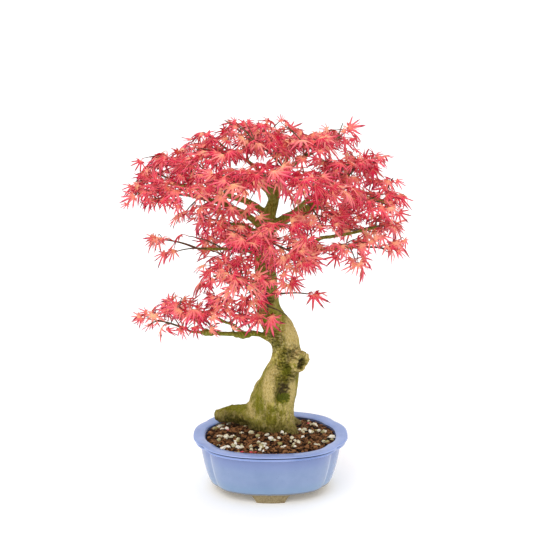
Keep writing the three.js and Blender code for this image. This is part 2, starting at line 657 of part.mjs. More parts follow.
function makeSprays(bark) {
  const plans = Object.values(SPRAYS);
  const stems = plans.map((plan, s) => {
    const choices = BENDS.map((bend) => {
      const curve = stemCurve(plan, bend);
      const rings = stemRings(curve);
      return { curve, rings, solid: spraySkin(rings, []) };
    });
    const stem = choices.find(({ solid }) => isClear(solid.subtract(bark), s)) ?? choices[0];
    keepClearOf(stem.solid.subtract(bark), s);
    return stem;
  });
  keepClearOf(bark, -1);
  return plans.map((plan, s) => {
    const { curve, rings, solid } = stems[s];
    const leaves = [];
    leafPlaces(curve, rings, plan[3]).forEach((place, n) => {
      const grown = growLeaf(place, s, n, solid, leaves.map((one) => one.loose));
      if (grown === null) return;
      leaves.push(grown);
      keepClearOf(grown.loose, s);
    });
    return largestBody(spraySkin(rings, leaves).subtract(bark));
  });
}

// Assembly

const COLOURS = {
  glaze: { color: 0x93a5d8, roughness: 0.25, metalness: 0 },
  soil: { color: 0x6b3f27, roughness: 0.95, metalness: 0 },
  bark: { color: 0x9a8f5c, roughness: 0.85, metalness: 0 },
  leaf: { color: 0xe0455c, roughness: 0.6, metalness: 0 },
  plastic: { color: 0x2a2a2a, roughness: 0.7, metalness: 0 },
};

const plant = new THREE.Group();

function add(name, solid, colour) {
  const mesh = new THREE.Mesh(geometryOf(solid), new THREE.MeshStandardMaterial(COLOURS[colour]));
  mesh.name = name;
  plant.add(mesh);
}

const trunk = makeTrunk();
const barkRoom = wasm.Manifold.union([wood(GAP), callus(), ...burls(GAP)]);
add("pot", makePot(), "glaze");
add("drain_mesh_left", makeDrainMesh(-1), "plastic");
add("drain_mesh_right", makeDrainMesh(1), "plastic");
add("soil", makeSoil([wood(GAP)]), "soil");
add("trunk", trunk, "bark");
const sprays = makeSprays(barkRoom);
Object.keys(SPRAYS).forEach((name, s) => add("spray_" + name, sprays[s], "leaf"));

const bounds = new THREE.Box3().setFromObject(plant);
const centre = bounds.getCenter(new THREE.Vector3());
plant.position.set(-centre.x, -centre.y, -bounds.min.z);

export default plant;
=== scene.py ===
import math
import random
from contextlib import contextmanager

import bpy
import numpy as np
from mathutils import Matrix, Vector, noise
from mathutils.kdtree import KDTree


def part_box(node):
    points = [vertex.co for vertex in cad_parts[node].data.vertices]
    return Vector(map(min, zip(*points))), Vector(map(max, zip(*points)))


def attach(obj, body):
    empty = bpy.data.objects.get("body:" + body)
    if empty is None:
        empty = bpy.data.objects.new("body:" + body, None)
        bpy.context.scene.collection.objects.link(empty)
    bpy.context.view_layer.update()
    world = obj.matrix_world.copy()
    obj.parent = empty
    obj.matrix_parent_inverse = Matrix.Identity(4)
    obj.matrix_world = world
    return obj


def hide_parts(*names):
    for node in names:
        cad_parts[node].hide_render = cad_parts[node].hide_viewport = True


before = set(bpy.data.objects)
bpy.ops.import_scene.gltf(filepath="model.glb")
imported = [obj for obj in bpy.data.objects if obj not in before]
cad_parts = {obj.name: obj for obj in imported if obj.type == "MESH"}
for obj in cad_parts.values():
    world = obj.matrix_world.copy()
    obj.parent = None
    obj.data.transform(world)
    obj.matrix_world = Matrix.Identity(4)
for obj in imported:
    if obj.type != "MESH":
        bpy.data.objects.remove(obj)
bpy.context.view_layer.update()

for name in ("Cube", "Light", "Camera"):
    if name in bpy.data.objects:
        bpy.data.objects.remove(bpy.data.objects[name])

# A Japanese maple bonsai in its glazed pot. Lengths are millimetres round the middle of the pot, and the
# function at puts them in the frame, in metres. The pot's section and the wood's paths follow the solids,
# with finer rings and limbs that the solids leave plain.

MM = 0.001
pot_low, pot_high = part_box("pot")
POT_MIDDLE = Vector(((pot_low[0] + pot_high[0]) / 2, (pot_low[1] + pot_high[1]) / 2, 0))
SEED = 7


def at(x, y, z):
    return POT_MIDDLE + Vector((x, y, z)) * MM


# The pot's outline is a rounded oval
ROUNDNESS = 2.35
POT_DEPTH_SHARE = 0.77
# The creases between the lobes: their turn in degrees, their depth as a share, and their reach in radians
CREASE_TURN = 30
CREASE_DEPTH = 0.035
CREASE_REACH = 0.35
OUTLINE_POINTS = 144
FOOT_HEIGHT = 11
# A foot's reach up into the pot, the curve of its sides, its least depth at the bottom, and its rounded edge
FOOT_BITE = 1.5
FOOT_CURVE = 1.6
FOOT_BACK = 8
FOOT_BEVEL = 0.7
SOIL_EDGE = 73.5
SOIL_MOUND = 8.5
SOIL_OVAL = (88, 65.5)
# The pot's section, up the outside, over the lip and down the inside: height, half width, half depth
POT_SECTION = [
    (11, 78, 54), (11.3, 80.5, 56.5), (12.6, 82, 58), (17, 84, 60), (22, 86, 62), (30, 88.4, 64.4),
    (38, 90.5, 66.5), (47, 92.4, 68.7), (56, 94, 70.5), (64, 95.1, 72), (69, 95.7, 72.8),
    (68.9, 95.9, 73), (69.3, 98.8, 75.8), (69.9, 101, 78), (71.1, 102.2, 79.2), (72.7, 102.4, 79.4),
    (73.9, 101.8, 78.8), (74.3, 99.8, 76.8), (75.1, 99.4, 76.4), (75.5, 101.4, 78.4), (75.8, 103.6, 80.6),
    (76.2, 104.6, 81.6),
    (76.9, 105, 82), (77.6, 104.5, 81.5), (78, 103.3, 80.3), (78.1, 100, 77.2), (77.9, 95, 72.4),
    (77.5, 91, 68.5), (76.6, 89.4, 66.9), (75, 88, 65.5), (60, 85.8, 63.1), (40, 82.6, 59.8),
    (26, 80, 57), (19, 75, 52), (17, 69, 46),
]
SOIL_SIDE = [(18, 68, 45.5), (26, 79, 56), (60, 84.8, 62.2), (72, 87, 64.6), (73, 87.2, 64.8)]
SOIL_RINGS = (0.96, 0.88, 0.78, 0.66, 0.52, 0.36, 0.2, 0.06)
GRAIN_DEPTH = 1.4
# How loose grains lie: the most they are raised and how far they tip, in radians, then as shares of their size
# their least width and height, their gap to the wall and the spread of a clump
GRAIN_RISE = 1.2
GRAIN_TIP = 0.9
GRAIN_WIDTH = 0.6
GRAIN_HEIGHT = 0.8
WALL_GAP = 0.6
CLUMP_SPREAD = 0.8
# Loose grains: how many, and their least and largest size
BARK_CHIPS = (2100, (2.6, 5))
CLAY_GRAINS = (900, (2.0, 3.6))
PUMICE_GRAINS = (185, (3, 6.4))
CRUMB_FACES = 0.5
# Withered leaves on the soil: x, y, turn in degrees and size
FALLEN_BITS = [(-36, -58, 200, 9), (-28, -60, 20, 11), (-19, -61, 120, 8), (52, 30, 70, 10), (-60, 12, 300, 9)]
LIP_EDGE = (104, 81, 77.2)
# Heights where the inside wall takes the glaze painted dark for the shade inside the pot
INNER_GLAZE = (18, 75.5)
DRAIN_OFFSET = 32
DRAIN_RADIUS = 9
DRAIN_HEIGHT = 14
DRAIN_CUT = 12
NET_WIRE = 1.2
NET_HOLES = 9
FRONT_FOOT = {"top": 28.5, "bottom": 19.5, "out": 57, "slope": 1, "depth": 11, "bend": 92}
SIDE_FOOT = {"top": 20, "bottom": 15, "out": 75, "slope": 9, "depth": 14, "bend": 60}

# Wood: points x, y, z with the limb's radius there.
TRUNK = [
    [4, 17, 58, 27], [4, 17, 78, 27], [2, 16, 94, 27.5], [2, 14, 110, 28], [5, 12, 127, 28],
    [9, 10, 144, 26], [13, 8, 159, 23.5], [18, 7, 175, 20.5], [21, 6, 190, 19], [20, 5, 203, 19],
    [15, 4, 217, 19.8], [8, 4, 231, 19], [1, 3, 244, 17.5], [-3, 2, 257, 16], [-5, 2, 271, 15.3],
    [-6, 2, 288, 14.6], [-7, 2, 306, 13.9], [-8, 2, 325, 13.1], [-8, 2, 343, 12.3], [-7, 2, 360, 11.4],
    [-4, 3, 377, 9.6], [2, 3, 396, 7.4], [8, 3, 416, 6], [16, 2, 439, 4.5], [21, 0, 462, 3],
    [19, 0, 482, 1.6],
]
BOLE_STEPS = 3
BOLE_SIDES = 36
FLARE_RINGS = 5
FOOT_WAVE = 0.03
# The trunk's own lean to the right: the most of it, the height where it has that and how far it reaches
LEAN = (1.3, 172, 48)
# Swellings of the trunk's foot: the way they face in degrees, their reach and their width
FLARE = [(185, 0.42, 0.5), (335, 0.16, 0.5), (265, 0.06, 0.4), (60, 0.1, 0.5), (125, 0.14, 0.5)]
ROOTS = [
    [[-2, 17, 99, 24], [-26, 23, 96, 17.6], [-44, 29, 93.5, 12.6], [-60, 33, 91.5, 10.6], [-72, 34, 89.6, 9.4],
     [-77, 34, 88.6, 6]],
    [[14, 8, 88, 14], [32, -6, 76, 9], [46, -16, 62, 5]],
    [[16, 26, 88, 14], [36, 34, 76, 8], [50, 40, 62, 4.5]],
    [[0, 32, 88, 13], [-6, 46, 74, 8], [-10, 54, 60, 4.5]],
]
LIMBS = {
    "left_low": [[4, 2, 210, 7], [-17, -5, 222, 4.6], [-37, -12, 224, 4], [-60, -16, 226, 3.4],
        [-83, -18, 228, 3], [-104, -18, 229, 1.8]],
    "left_mid": [[-6, 0, 286, 5], [-31, -12, 299, 3.4], [-54, -20, 304, 2.6], [-74, -24, 307, 1.6]],
    "left_long": [[-7, 4, 326, 4.4], [-40, 12, 334, 2.8], [-74, 16, 333, 2.2], [-98, 16, 334, 1.5]],
    "left_thin": [[-7, 0, 352, 4], [-32, -12, 371, 2.6], [-52, -20, 376, 2], [-68, -24, 378, 1.4]],
    "left_arm": [[-6, 2, 362, 6.8], [-23, -6, 378, 5.1], [-38, -18, 391, 4.4], [-57, -32, 404, 4.1],
        [-83, -42, 413, 3.1], [-109, -48, 420, 1.9]],
    "left_high": [[-2, 4, 380, 6.4], [-27, 12, 396, 5.1], [-49, 20, 402, 4.5], [-77, 30, 408, 4],
        [-107, 38, 413, 3], [-132, 40, 416, 1.9]],
    "right_arm": [[-4, 0, 362, 8.4], [23, 4, 379, 7.5], [42, 6, 385, 7], [61, 6, 399, 6], [82, 6, 415, 5],
        [100, 8, 434, 3.6], [105, 10, 454, 2]],
    "right_low": [[-4, 0, 314, 6.4], [28, -8, 330, 4.7], [55, -14, 339, 3.9], [77, -16, 341, 3.1],
        [96, -16, 343, 2.4], [122, -14, 343, 1.6]],
    "right_mid": [[53, -14, 338, 3.6], [61, -12, 353, 2.9], [82, -6, 356, 2.5], [114, 2, 360, 2],
        [138, 8, 365, 1.4]],
    "right_far": [[80, 6, 413, 4], [108, 2, 410, 2.9], [134, -2, 404, 2.2], [155, -4, 399, 1.4]],
    "front_low": [[-4, 0, 262, 4.4], [-15, -26, 280, 2.7], [-26, -48, 292, 1.6]],
    "front_mid": [[-7, 0, 330, 5], [-9, -32, 352, 3.5], [-9, -62, 369, 2.6], [-5, -84, 381, 1.6]],
    "front_high": [[4, 3, 400, 5], [-2, -30, 424, 3.5], [-12, -60, 438, 2.6], [-22, -84, 446, 1.6]],
    "front_right": [[24, 4, 379, 5], [38, -28, 401, 3.5], [51, -58, 420, 2.6], [59, -82, 432, 1.6]],
    "back_low": [[-7, 2, 316, 5], [-14, 42, 321, 3.3], [-22, 80, 321, 1.8]],
    "back_high": [[3, 3, 398, 5], [-5, 42, 405, 3.3], [-15, 82, 407, 1.8]],
    "back_right": [[26, 5, 380, 5], [48, 44, 384, 3.3], [66, 82, 385, 1.8]],
    "top_left": [[7, 3, 412, 4.8], [-11, -2, 438, 3.5], [-33, -6, 457, 2.5], [-53, -8, 468, 1.5]],
    "top_right": [[15, 2, 435, 4], [37, -2, 456, 3], [60, -5, 469, 2.3], [80, -5, 476, 1.5]],
    "left_low_fork": [[-38, -13, 226, 3], [-44, -15, 234, 2.6], [-54, -18, 241, 2.3], [-64, -19, 245, 2.1],
        [-73, -20, 250, 1.8], [-86, -22, 257, 1.2]],
}
# Knobs of the trunk and of its lowest limb: middle and size
BURLS = [
    (27, -4, 197, 10), (30, 0, 170, 8), (-37, -13, 223, 5.6), (-30, -11, 221.6, 4.2), (-44, -15, 224, 4.4),
    (-85, -19, 229, 5.4), (-78, -18, 227, 4),
]
BURL_SHAPE = (1.25, 0.9, 0.95, 1)
# Steps of the soft curve between two points of a path
COLLAR_STEPS = 3
LIMB_STEPS = 5
# The rows of a limb that grow into the trunk's skin, the row where its round wood starts, and their thickness
# as shares of the limb's radius
COLLAR_ROWS = 7
COLLAR_SHARE = 0.9
LIMB_START = 6
LIMB_SHARE = 0.84
# The swelling at a bud, and how far a limb strays from its path
KNUCKLE = 0.16
LIMB_WANDER = 0.9
SKIN_VOXEL = 1.25
SKIN_SMOOTHING = 8
# The stump of a cut branch, the open scar below it and the healed scar above it
CALLUS_AT = Vector((34, -5, 184))
CALLUS_AXIS = Vector((0.68, -0.73, -0.08)).normalized()
CALLUS_REACH = 19
CALLUS_RING = 11
CALLUS_ROLL = 4.6
CALLUS_OUT = 5.5
STUMP_IN = 6
STUMP = {"radius1": 20, "radius2": 11.5, "depth": 18}
SCAR_AT = (16.5, -19, 142)
SCAR_SIZE = (8.2, 10, 13.5)
HEALED_AT = (-2, -14, 260)
HEALED_SIZE = (7, 8, 13)
# The numbers that the bark's shader reads at each point, and what the limbs have there
LIMB_NUMBERS = {"moss": 0.3, "hollow": 0, "shade": 0, "young": 1, "folded": 0, "pale": 0}
# Relief of the bark: waves a millimetre and depth in millimetres. The left root is craggier than the rest.
RIDGE_WAVES = (0.16, 0.16, 0.03)
RIDGE_DEPTH = 1.2
LUMPS = (0.045, 1.3)
ROUGHNESS_OF_BARK = (0.45, 0.4)
CRAGS = (0.12, 1.6)
ROOT_CRAGS = 2.1
OTHER_CRAGS = 0.45
# Folds of the bark, with painted shade in their troughs: middle, size, waves a millimetre up and across, and depth
# in millimetres
FOLDS = [
    ((23, -14, 163), (15, 14, 6), 1.15, 0.12, 1.7),
    ((7, -12, 216), (9, 12, 14), 1.25, -0.6, 0.7),
    ((26, -12, 198), (11, 12, 8), 0.9, 0.8, 1.5),
    ((16, -12, 180), (8, 12, 10), 0.7, 0.9, 0.8),
    ((-9, -13, 270), (11, 9, 6), 1.0, 0.2, 0.9),
]
# Places painted darker, for the shade under the roots, at the trunk's foot and round the scars, and for stains on
# the bark: middle, size and strength
PAINTED_SHADE_AND_STAINS = [
    ((-50, 12, 91), (18, 22, 7), 1.4), ((-14, -12, 84), (20, 18, 9), 1.0), ((18, -16, 84), (14, 14, 9), 0.8),
    ((16, -18, 156), (9, 12, 3.5), 0.9), ((7, -18, 141), (2.5, 10, 12), 0.9), ((22, -14, 180), (4, 12, 8), 0.5),
    ((8, -12, 216), (7, 12, 10), 0.5), ((28, -10, 169), (8, 12, 3.5), 0.55), ((-36, 8, 88), (18, 20, 6), 0.9),
    ((-9, -13, 270), (11, 9, 3.5), 0.9), ((22, -14, 199), (5, 12, 4), 0.6), ((-8, -14, 108), (10, 14, 6), 0.4),
    ((23, -14, 159), (14, 14, 2), 0.8), ((0, -14, 96), (6, 14, 8), 0.5), ((-8, -34, 97), (9, 12, 4), 1.2),
]
# Paler places: smooth pale bark, and painted light on the top of the left root: middle, size and strength
PALE_BARK_AND_PAINTED_LIGHT = [
    ((-2, -16, 150), (7, 16, 18), 0.8), ((28, -10, 142), (5, 14, 17), 0.8), ((28, -8, 224), (8, 16, 20), 0.9),
    ((4, -16, 172), (8, 14, 8), 0.5), ((-30, 0, 110), (8, 16, 9), 0.6), ((-56, 14, 109), (20, 20, 7), 0.5),
]
# Mossy places: middle, size and strength
MOSS_SPOTS = [
    ((-17, -14, 122), (11, 30, 13), 0.4), ((6, -16, 118), (10, 30, 8), 0.36), ((-56, 24, 108), (28, 34, 9), 0.5),
    ((17, -18, 130), (7, 20, 7), 0.4), ((-4, -6, 244), (11, 30, 22), 0.42), ((22, -12, 175), (6, 16, 9), 0.4),
    ((-8, 0, 300), (14, 30, 40), 0.26), ((-30, -10, 224), (26, 12, 9), 0.36), ((10, 30, 120), (30, 20, 40), 0.26),
    ((6, -12, 212), (8, 14, 14), 0.3),
]

# Leafy sprays: the limb that carries each one, how far along it, the tip of its stem and its leaves.
SPRAYS = {
    "left_edge": ["left_high", 1, [-162, -8, 418], 6],
    "left_edge_front": ["left_arm", 1, [-146, -66, 417], 6],
    "left_edge_back": ["left_high", 0.9, [-161, 62, 427], 6],
    "left_shoulder": ["left_high", 0.78, [-132, 6, 457], 6],
    "left_shoulder_front": ["left_arm", 0.88, [-111, -94, 436], 6],
    "left_shoulder_mid": ["left_arm", 0.74, [-103, -52, 455], 6],
    "top_left_front": ["top_left", 0.8, [-75, -68, 470], 6],
    "top_left_tip": ["top_left", 1, [-80, -18, 488], 6],
    "top_left_back": ["left_high", 0.62, [-100, 76, 459], 6],
    "top_left_mid": ["top_left", 0.6, [-40, 30, 492], 6],
    "top_front": ["trunk", 0.93, [-18, -62, 486], 6],
    "top_tip": ["trunk", 0.97, [-14, -12, 496], 6],
    "top_back": ["trunk", 0.9, [-3, 74, 482], 6],
    "top_right_front": ["top_right", 0.6, [41, -58, 486], 6],
    "top_right_back": ["top_right", 0.7, [63, 66, 473], 6],
    "top_right_tip": ["top_right", 0.7, [94, 2, 490], 6],
    "right_shoulder_front": ["right_arm", 0.75, [88, -60, 461], 6],
    "right_shoulder": ["right_arm", 0.82, [125, -4, 453], 6],
    "right_shoulder_back": ["right_arm", 0.85, [125, 66, 440], 6],
    "right_edge": ["right_far", 1, [148, -8, 425], 6],
    "right_edge_front": ["right_far", 0.6, [126, -64, 410], 6],
    "right_edge_back": ["right_far", 0.8, [149, 50, 388], 6],
    "front_left_high": ["front_high", 0.85, [-47, -112, 449], 6],
    "front_centre_high": ["front_high", 1, [-4, -126, 459], 6],
    "front_right_high": ["front_right", 1, [39, -120, 451], 6],
    "front_right_edge": ["front_right", 0.7, [79, -92, 430], 6],
    "front_right_low": ["front_right", 0.5, [63, -92, 390], 6],
    "front_centre": ["front_mid", 1, [18, -112, 395], 6],
    "front_centre_low": ["front_mid", 0.5, [37, -68, 343], 6],
    "front_left": ["front_mid", 0.55, [-38, -86, 369], 6],
    "right_mid_tip": ["right_mid", 0.8, [154, 28, 361], 6],
    "right_low_tip": ["right_low", 1, [155, -20, 341], 6],
    "right_low_front": ["right_low", 0.7, [102, -66, 358], 6],
    "right_low_back": ["right_mid", 0.7, [124, 64, 344], 6],
    "left_thin_tip": ["left_thin", 0.6, [-84, -36, 385], 5],
    "left_mid_tip": ["left_mid", 0.85, [-73, -36, 323], 6],
    "left_mid_back": ["left_mid", 0.6, [-68, 40, 325], 6],
    "left_long_tip": ["left_long", 1, [-142, 14, 346], 4],
    "front_low_tip": ["front_low", 1, [-36, -80, 318], 6],
    "low_left_tip": ["left_low", 1, [-158, -26, 249], 6],
    "low_left_top": ["left_low", 0.82, [-127, 24, 256], 6],
    "low_left_front": ["left_low", 0.7, [-96, -58, 269], 6],
    "low_left_near": ["left_low", 0.5, [-58, -36, 276], 6],
    "low_front_twig": ["trunk", 0.6, [-4, -38, 263], 2],
    "low_right_twig": ["trunk", 0.56, [48, -34, 286], 2],
    "back_left_high": ["back_high", 1, [-59, 122, 404], 6],
    "back_right_high": ["back_right", 1, [52, 122, 404], 6],
    "back_low_tip": ["back_low", 1, [-20, 118, 337], 6],
    "back_left_low": ["back_low", 0.6, [-77, 78, 327], 6],
    "back_right_low": ["back_right", 0.65, [93, 96, 356], 6],
    "right_crown_mid": ["right_arm", 0.9, [102, -36, 442], 6],
    "top_right_mid": ["top_right", 0.4, [58, -20, 488], 6],
    "low_left_trunk": ["left_low", 0.28, [-36, -50, 264], 4],
    "centre_low_right": ["right_low", 0.12, [26, -44, 326], 4],
}
# Side twigs of the sprays that are thinner than the rest
FULLNESS = {"left_long_tip": 1, "left_mid_tip": 3, "left_thin_tip": 2, "low_right_twig": 0, "low_front_twig": 1,
            "low_left_trunk": 2}
# Small shoots that the solids leave out: the limb, how far along it, the tip and the leaves there
SHOOTS = {
    "high_centre": ["front_high", 0.5, (-11, -60, 462), 4], "high_right": ["front_right", 0.6, (40, -58, 452), 5],
    "left_outer": ["left_arm", 0.72, (-89, -60, 406), 5], "left_inner": ["left_arm", 0.5, (-56, -50, 402), 5],
    "left_near": ["left_arm", 0.3, (-31, -40, 396), 3], "left_hang": ["left_arm", 0.85, (-110, -44, 394), 4],
    "left_upper": ["left_high", 0.5, (-46, -30, 428), 4], "window": ["right_arm", 0.25, (26, -20, 408), 2],
    "long_twig_low": ["left_long", 0.8, (-130, 8, 330), 2], "long_twig_mid": ["left_long", 0.55, (-108, 10, 352), 1],
    "mid_left": ["left_mid", 0.7, (-81, -30, 300), 4], "right_hang": ["right_low", 0.85, (110, -24, 326), 5],
    "centre_low": ["right_low", 0.1, (20, -35, 303), 4], "centre": ["front_mid", 0.3, (-20, -46, 367), 4],
    "low_centre": ["front_low", 0.6, (-19, -48, 286), 3],
}

# Open leaves that hang in front of the crown: the blade's foot x, y, z, the turn of its middle lobe as seen
# from the front in degrees, its length and its tint
OPEN_LEAVES = [
    (-60, -78, 435, 180, 39, 0.12), (-60, -76, 423, -112, 27, 0.3), (-31, -74, 432, -138, 28, 0.08),
    (-85, -96, 457, -105, 17, 0.2), (-31, -104, 462, -55, 27, 0.4), (-147, -4, 354, -105, 22, 0.1),
    (-127, 2, 336, -105, 21, 0.15), (-37, -72, 386, -95, 17, 0.1), (-149, -60, 416, -95, 21, 0.35),
    (-115, -70, 412, -95, 18, 0.3), (-173, -30, 415, -152, 23, 0.4), (39, -84, 433, -100, 22, 0.15),
    (61, -84, 443, 195, 17, 0.35), (160, -22, 352, -75, 25, 0.2), (37, -84, 368, -100, 31, 0.15),
    (-7, -100, 393, -95, 21, 0.15), (113, -34, 327, -65, 20, 0.12), (163, -24, 392, -45, 22, 0.65),
    (22, -40, 424, -112, 20, 0.6), (-15, -46, 257, 207, 31, 0.3), (-2, -50, 255, -35, 30, 0.55),
    (-14, -52, 313, -60, 24, 0.35), (-23, -58, 307, -95, 20, 0.15), (-39, -58, 308, -120, 24, 0.22),
    (-60, -50, 312, -120, 18, 0.3), (-75, -50, 312, -120, 20, 0.45), (-82, -46, 316, 200, 13, 0.7),
    (22, -56, 330, -70, 17, 0.1), (15, -56, 319, -50, 18, 0.35), (-7, -60, 348, -130, 17, 0.1),
    (55, -34, 285, -60, 27, 0.8), (-73, -50, 286, 215, 18, 0.3), (-97, -50, 263, -78, 26, 0.6),
    (-153, -30, 257, -105, 24, 0.1), (-170, -26, 253, 215, 19, 0.12), (-121, -40, 272, 146, 24, 0.5),
    (-95, -60, 268, -15, 23, 0.2), (-114, -34, 242, -100, 20, 0.75), (-99, -34, 242, -72, 20, 0.7),
    (-66, -54, 287, 205, 23, 0.3), (-26, -62, 342, -80, 18, 0.75), (-44, -60, 336, -110, 18, 0.8),
    (-11, -70, 478, -95, 16, 0.5), (-52, -62, 491, -100, 14, 0.6), (39, -70, 471, -95, 18, 0.35),
    (141, -34, 364, -70, 22, 0.3), (173, -14, 353, -60, 17, 0.35), (96, -44, 347, -80, 17, 0.2),
    (161, -6, 430, -20, 16, 0.5), (-164, -26, 459, -120, 17, 0.75), (-182, -34, 406, -110, 13, 0.5),
    (-86, -34, 382, -130, 17, 0.85), (-81, -34, 370, -155, 17, 0.9), (70, -50, 503, 168, 13, 0.1),
    (96, -50, 505, 5, 21, 0.55), (89, -48, 501, -40, 11, 0.2), (-43, -56, 513, 160, 13, 0.8),
    (-43, -56, 508, 195, 14, 0.3), (-29, -56, 514, 8, 13, 0.75), (13, -60, 514, 98, 11, 0.3),
    (18, -60, 510, 35, 8, 0.2), (37, -86, 358, -60, 22, 0.2), (61, -70, 386, -95, 18, 0.3),
    (93, -60, 397, -80, 18, 0.6), (124, -50, 414, -80, 17, 0.5), (79, -70, 456, -95, 17, 0.45),
    (-111, -80, 452, -100, 17, 0.5), (-138, -60, 441, -110, 17, 0.6), (5, -110, 458, -90, 19, 0.4),
    (-38, -70, 480, -100, 16, 0.5), (59, -90, 484, -90, 17, 0.5),
    (-16, -64, 337, -130, 20, 0.6), (-4, -62, 329, 60, 16, 0.45), (1, -60, 312, -80, 17, 0.3),
    (-11, -56, 298, -100, 18, 0.35), (6, -70, 339, -60, 18, 0.6), (-1, -94, 365, -95, 19, 0.4),
    (-19, -68, 354, -140, 18, 0.8), (-6, -60, 310, -115, 20, 0.4), (-29, -60, 323, -120, 18, 0.5),
    (-42, -58, 322, -130, 17, 0.6), (-54, -54, 326, -140, 17, 0.7), (-34, -56, 288, -120, 18, 0.5),
    (-50, -50, 283, -130, 17, 0.5), (-11, -48, 279, -100, 14, 0.4), (7, -52, 295, -70, 13, 0.3),
    (-39, -62, 344, -110, 20, 0.75), (-30, -62, 331, -95, 18, 0.65), (-44, -58, 334, -120, 18, 0.8),
    (-57, -54, 341, -150, 17, 0.8), (-65, -52, 328, -130, 17, 0.6), (-24, -76, 374, -100, 18, 0.4),
    (-15, -80, 400, -60, 21, 0.12), (-48, -66, 408, -110, 17, 0.3), (-26, -72, 412, -70, 17, 0.5),
    (-41, -100, 452, -110, 18, 0.5), (-73, -66, 411, -120, 17, 0.4),
]
OPEN_LEAF_GROWTH = 1.12
OPEN_LEAF_TINT = 0.05
# The crown's outline as seen from the front, in the plane of the trunk: x and height
FRONT_OUTLINES = [
    [(-198, 409), (-184, 423), (-177, 447), (-172, 458), (-142, 463), (-121, 470), (-103, 477), (-73, 486),
     (-62, 504), (-42, 507), (-14, 504), (12, 511), (24, 500), (53, 494), (76, 489), (95, 479), (104, 472),
     (140, 467), (158, 455), (140, 446), (138, 433), (159, 426), (175, 419), (171, 396), (184, 380), (171, 365),
     (188, 336), (185, 324), (163, 320), (138, 325), (131, 305), (102, 313), (67, 309), (53, 305), (52, 285),
     (33, 278), (7, 273), (-11, 267), (-41, 267), (-93, 278), (-93, 300), (-77, 317), (-77, 336), (-92, 352),
     (-95, 365), (-105, 376), (-117, 384), (-126, 388), (-144, 385), (-162, 392), (-183, 387), (-193, 395)],
    [(-194, 237), (-173, 252), (-149, 263), (-129, 267), (-93, 269), (-64, 281), (-11, 281), (-1, 231), (-17, 235),
     (-27, 244), (-51, 238), (-81, 231), (-86, 212), (-113, 206), (-124, 214), (-130, 233), (-160, 241)],
    [(-173, 360), (-142, 363), (-118, 355), (-97, 368), (-77, 339), (-88, 320), (-106, 328), (-119, 303),
     (-138, 311), (-145, 336), (-168, 341)],
    [(33, 284), (63, 281), (76, 245), (50, 245), (39, 267)],
]
# The camera's place, and how far it looks down in degrees
VIEW_FROM = Vector((-5.5, -1593.4, 752.3))
VIEW_PITCH = 15.4
LENS = 85
SENSOR = 36
# Studio light: the white around, the floor's own glow, and soft suns with their direction, spread and power
SURROUND = 0.93
FLOOR_GLOW = 0.14
SUNS = {"key_light": ((-0.4, -0.7, 1.0), 40, 0.85), "top_light": ((0.2, 0.3, 1.0), 60, 0.4)}

# Leaves
LEAF_LENGTH = 29
CROWN_CENTRE = Vector((0, 0, 340))
NODE_LENGTH = 2.6
END_STALK = 12
# Pairs of leaves on a spray's stem: how far below its tip, their turn from the stem and their stalk
PAIRS = [(0, 36, 13), (14, 64, 17), (29, 88, 22)]
# The bends and the number of tries by which the solids keep their leaves clear of each other
BENDS = [0.1, 0.2, 0, 0.3, -0.1, 0.4, -0.2]
TRIES = 6
# Side twigs: most of them on a spray, the first one's distance from the tip, the gaps and the lengths
SIDE_TWIGS = 6
FIRST_TWIG = 7
TWIG_GAP = 10.5
TWIG_LENGTH = (17, 15)
# Leaves of a side twig: whether on its tip, their turn and their stalk
TWIG_LEAVES = [(True, 0, 12), (True, 52, 11), (True, -52, 11), (False, 66, 14), (False, -66, 14)]
SHOOT_TURNS = [0, 58, -58, 96, -96, 140]
SHOOT_STALK = 9
# Each lobe of a leaf: its turn from the middle lobe, its reach, and the rows along it beyond the cut
LOBES = [(0, 1.0, 2), (39, 0.95, 2), (-39, 0.95, 2), (78, 0.74, 2), (-78, 0.74, 2), (115, 0.42, 1), (-115, 0.42, 1)]
LOBE_WEDGE = 19.5
LOBE_CUT = 0.21
# Share of the way from the cut to the tip, and the half width there
LOBE_ROWS = {1: [(0.35, 0.058)], 2: [(0.26, 0.054), (0.58, 0.052)]}
LEAF_KINDS = 14
# How far a leaf is open, how much it hangs, and how its lobes differ in that, in their turn and in reach
OPENNESS = (0.64, 1.0)
DROOP = (0.1, 0.75)
OWN_DROOP = 0.18
OWN_TURN = 5
OWN_REACH = (0.86, 1.06)
LEAF_THICKNESS = 0.03
# How leaves differ by draw, as in the solids: sideways, in pitch, in tilt, in length and in their stalk
LEAF_SWAY = 0.16
LEAF_PITCH = (-0.3, 0.36)
LEAF_TILT = 0.3
LENGTH_SPREAD = 0.16
STALK_SPREAD = 0.2
# Least and width of what a draw gives: a side twig's turn and rise, and the size of leaves on twigs and shoots
TWIG_TURN = (42, 26)
TWIG_RISE = (-0.12, 0.5)
TWIG_LEAF_SIZE = (0.48, 0.42)
SHOOT_LEAF_SIZE = (0.75, 0.3)
# Which draws belong to the limbs, the side twigs, their leaves, the shoots, their leaves and the open leaves
LIMB_DRAWS = 70
TWIG_DRAWS = 300
TWIG_LEAF_DRAWS = 400
SHOOT_DRAWS = 100
SHOOT_LEAF_DRAWS = 600
OPEN_LEAF_DRAWS = 90
# Radii from root to tip
STALK_RADII = (0.62, 0.45, 0.5)
TWIG_RADII = (1.0, 0.8, 0.6)
OPEN_TWIG_RADII = (0.75, 0.6, 0.45)
SPRAY_STEM_RADII = (1.7, 0.8)
SHOOT_RADII = (1.2, 0.6)
# How a leaf shrinks that would stand out of the crown, and how far one on a side twig may reach
OUTER_LEAF = 0.72
TWIG_LEAF_REACH = 0.85

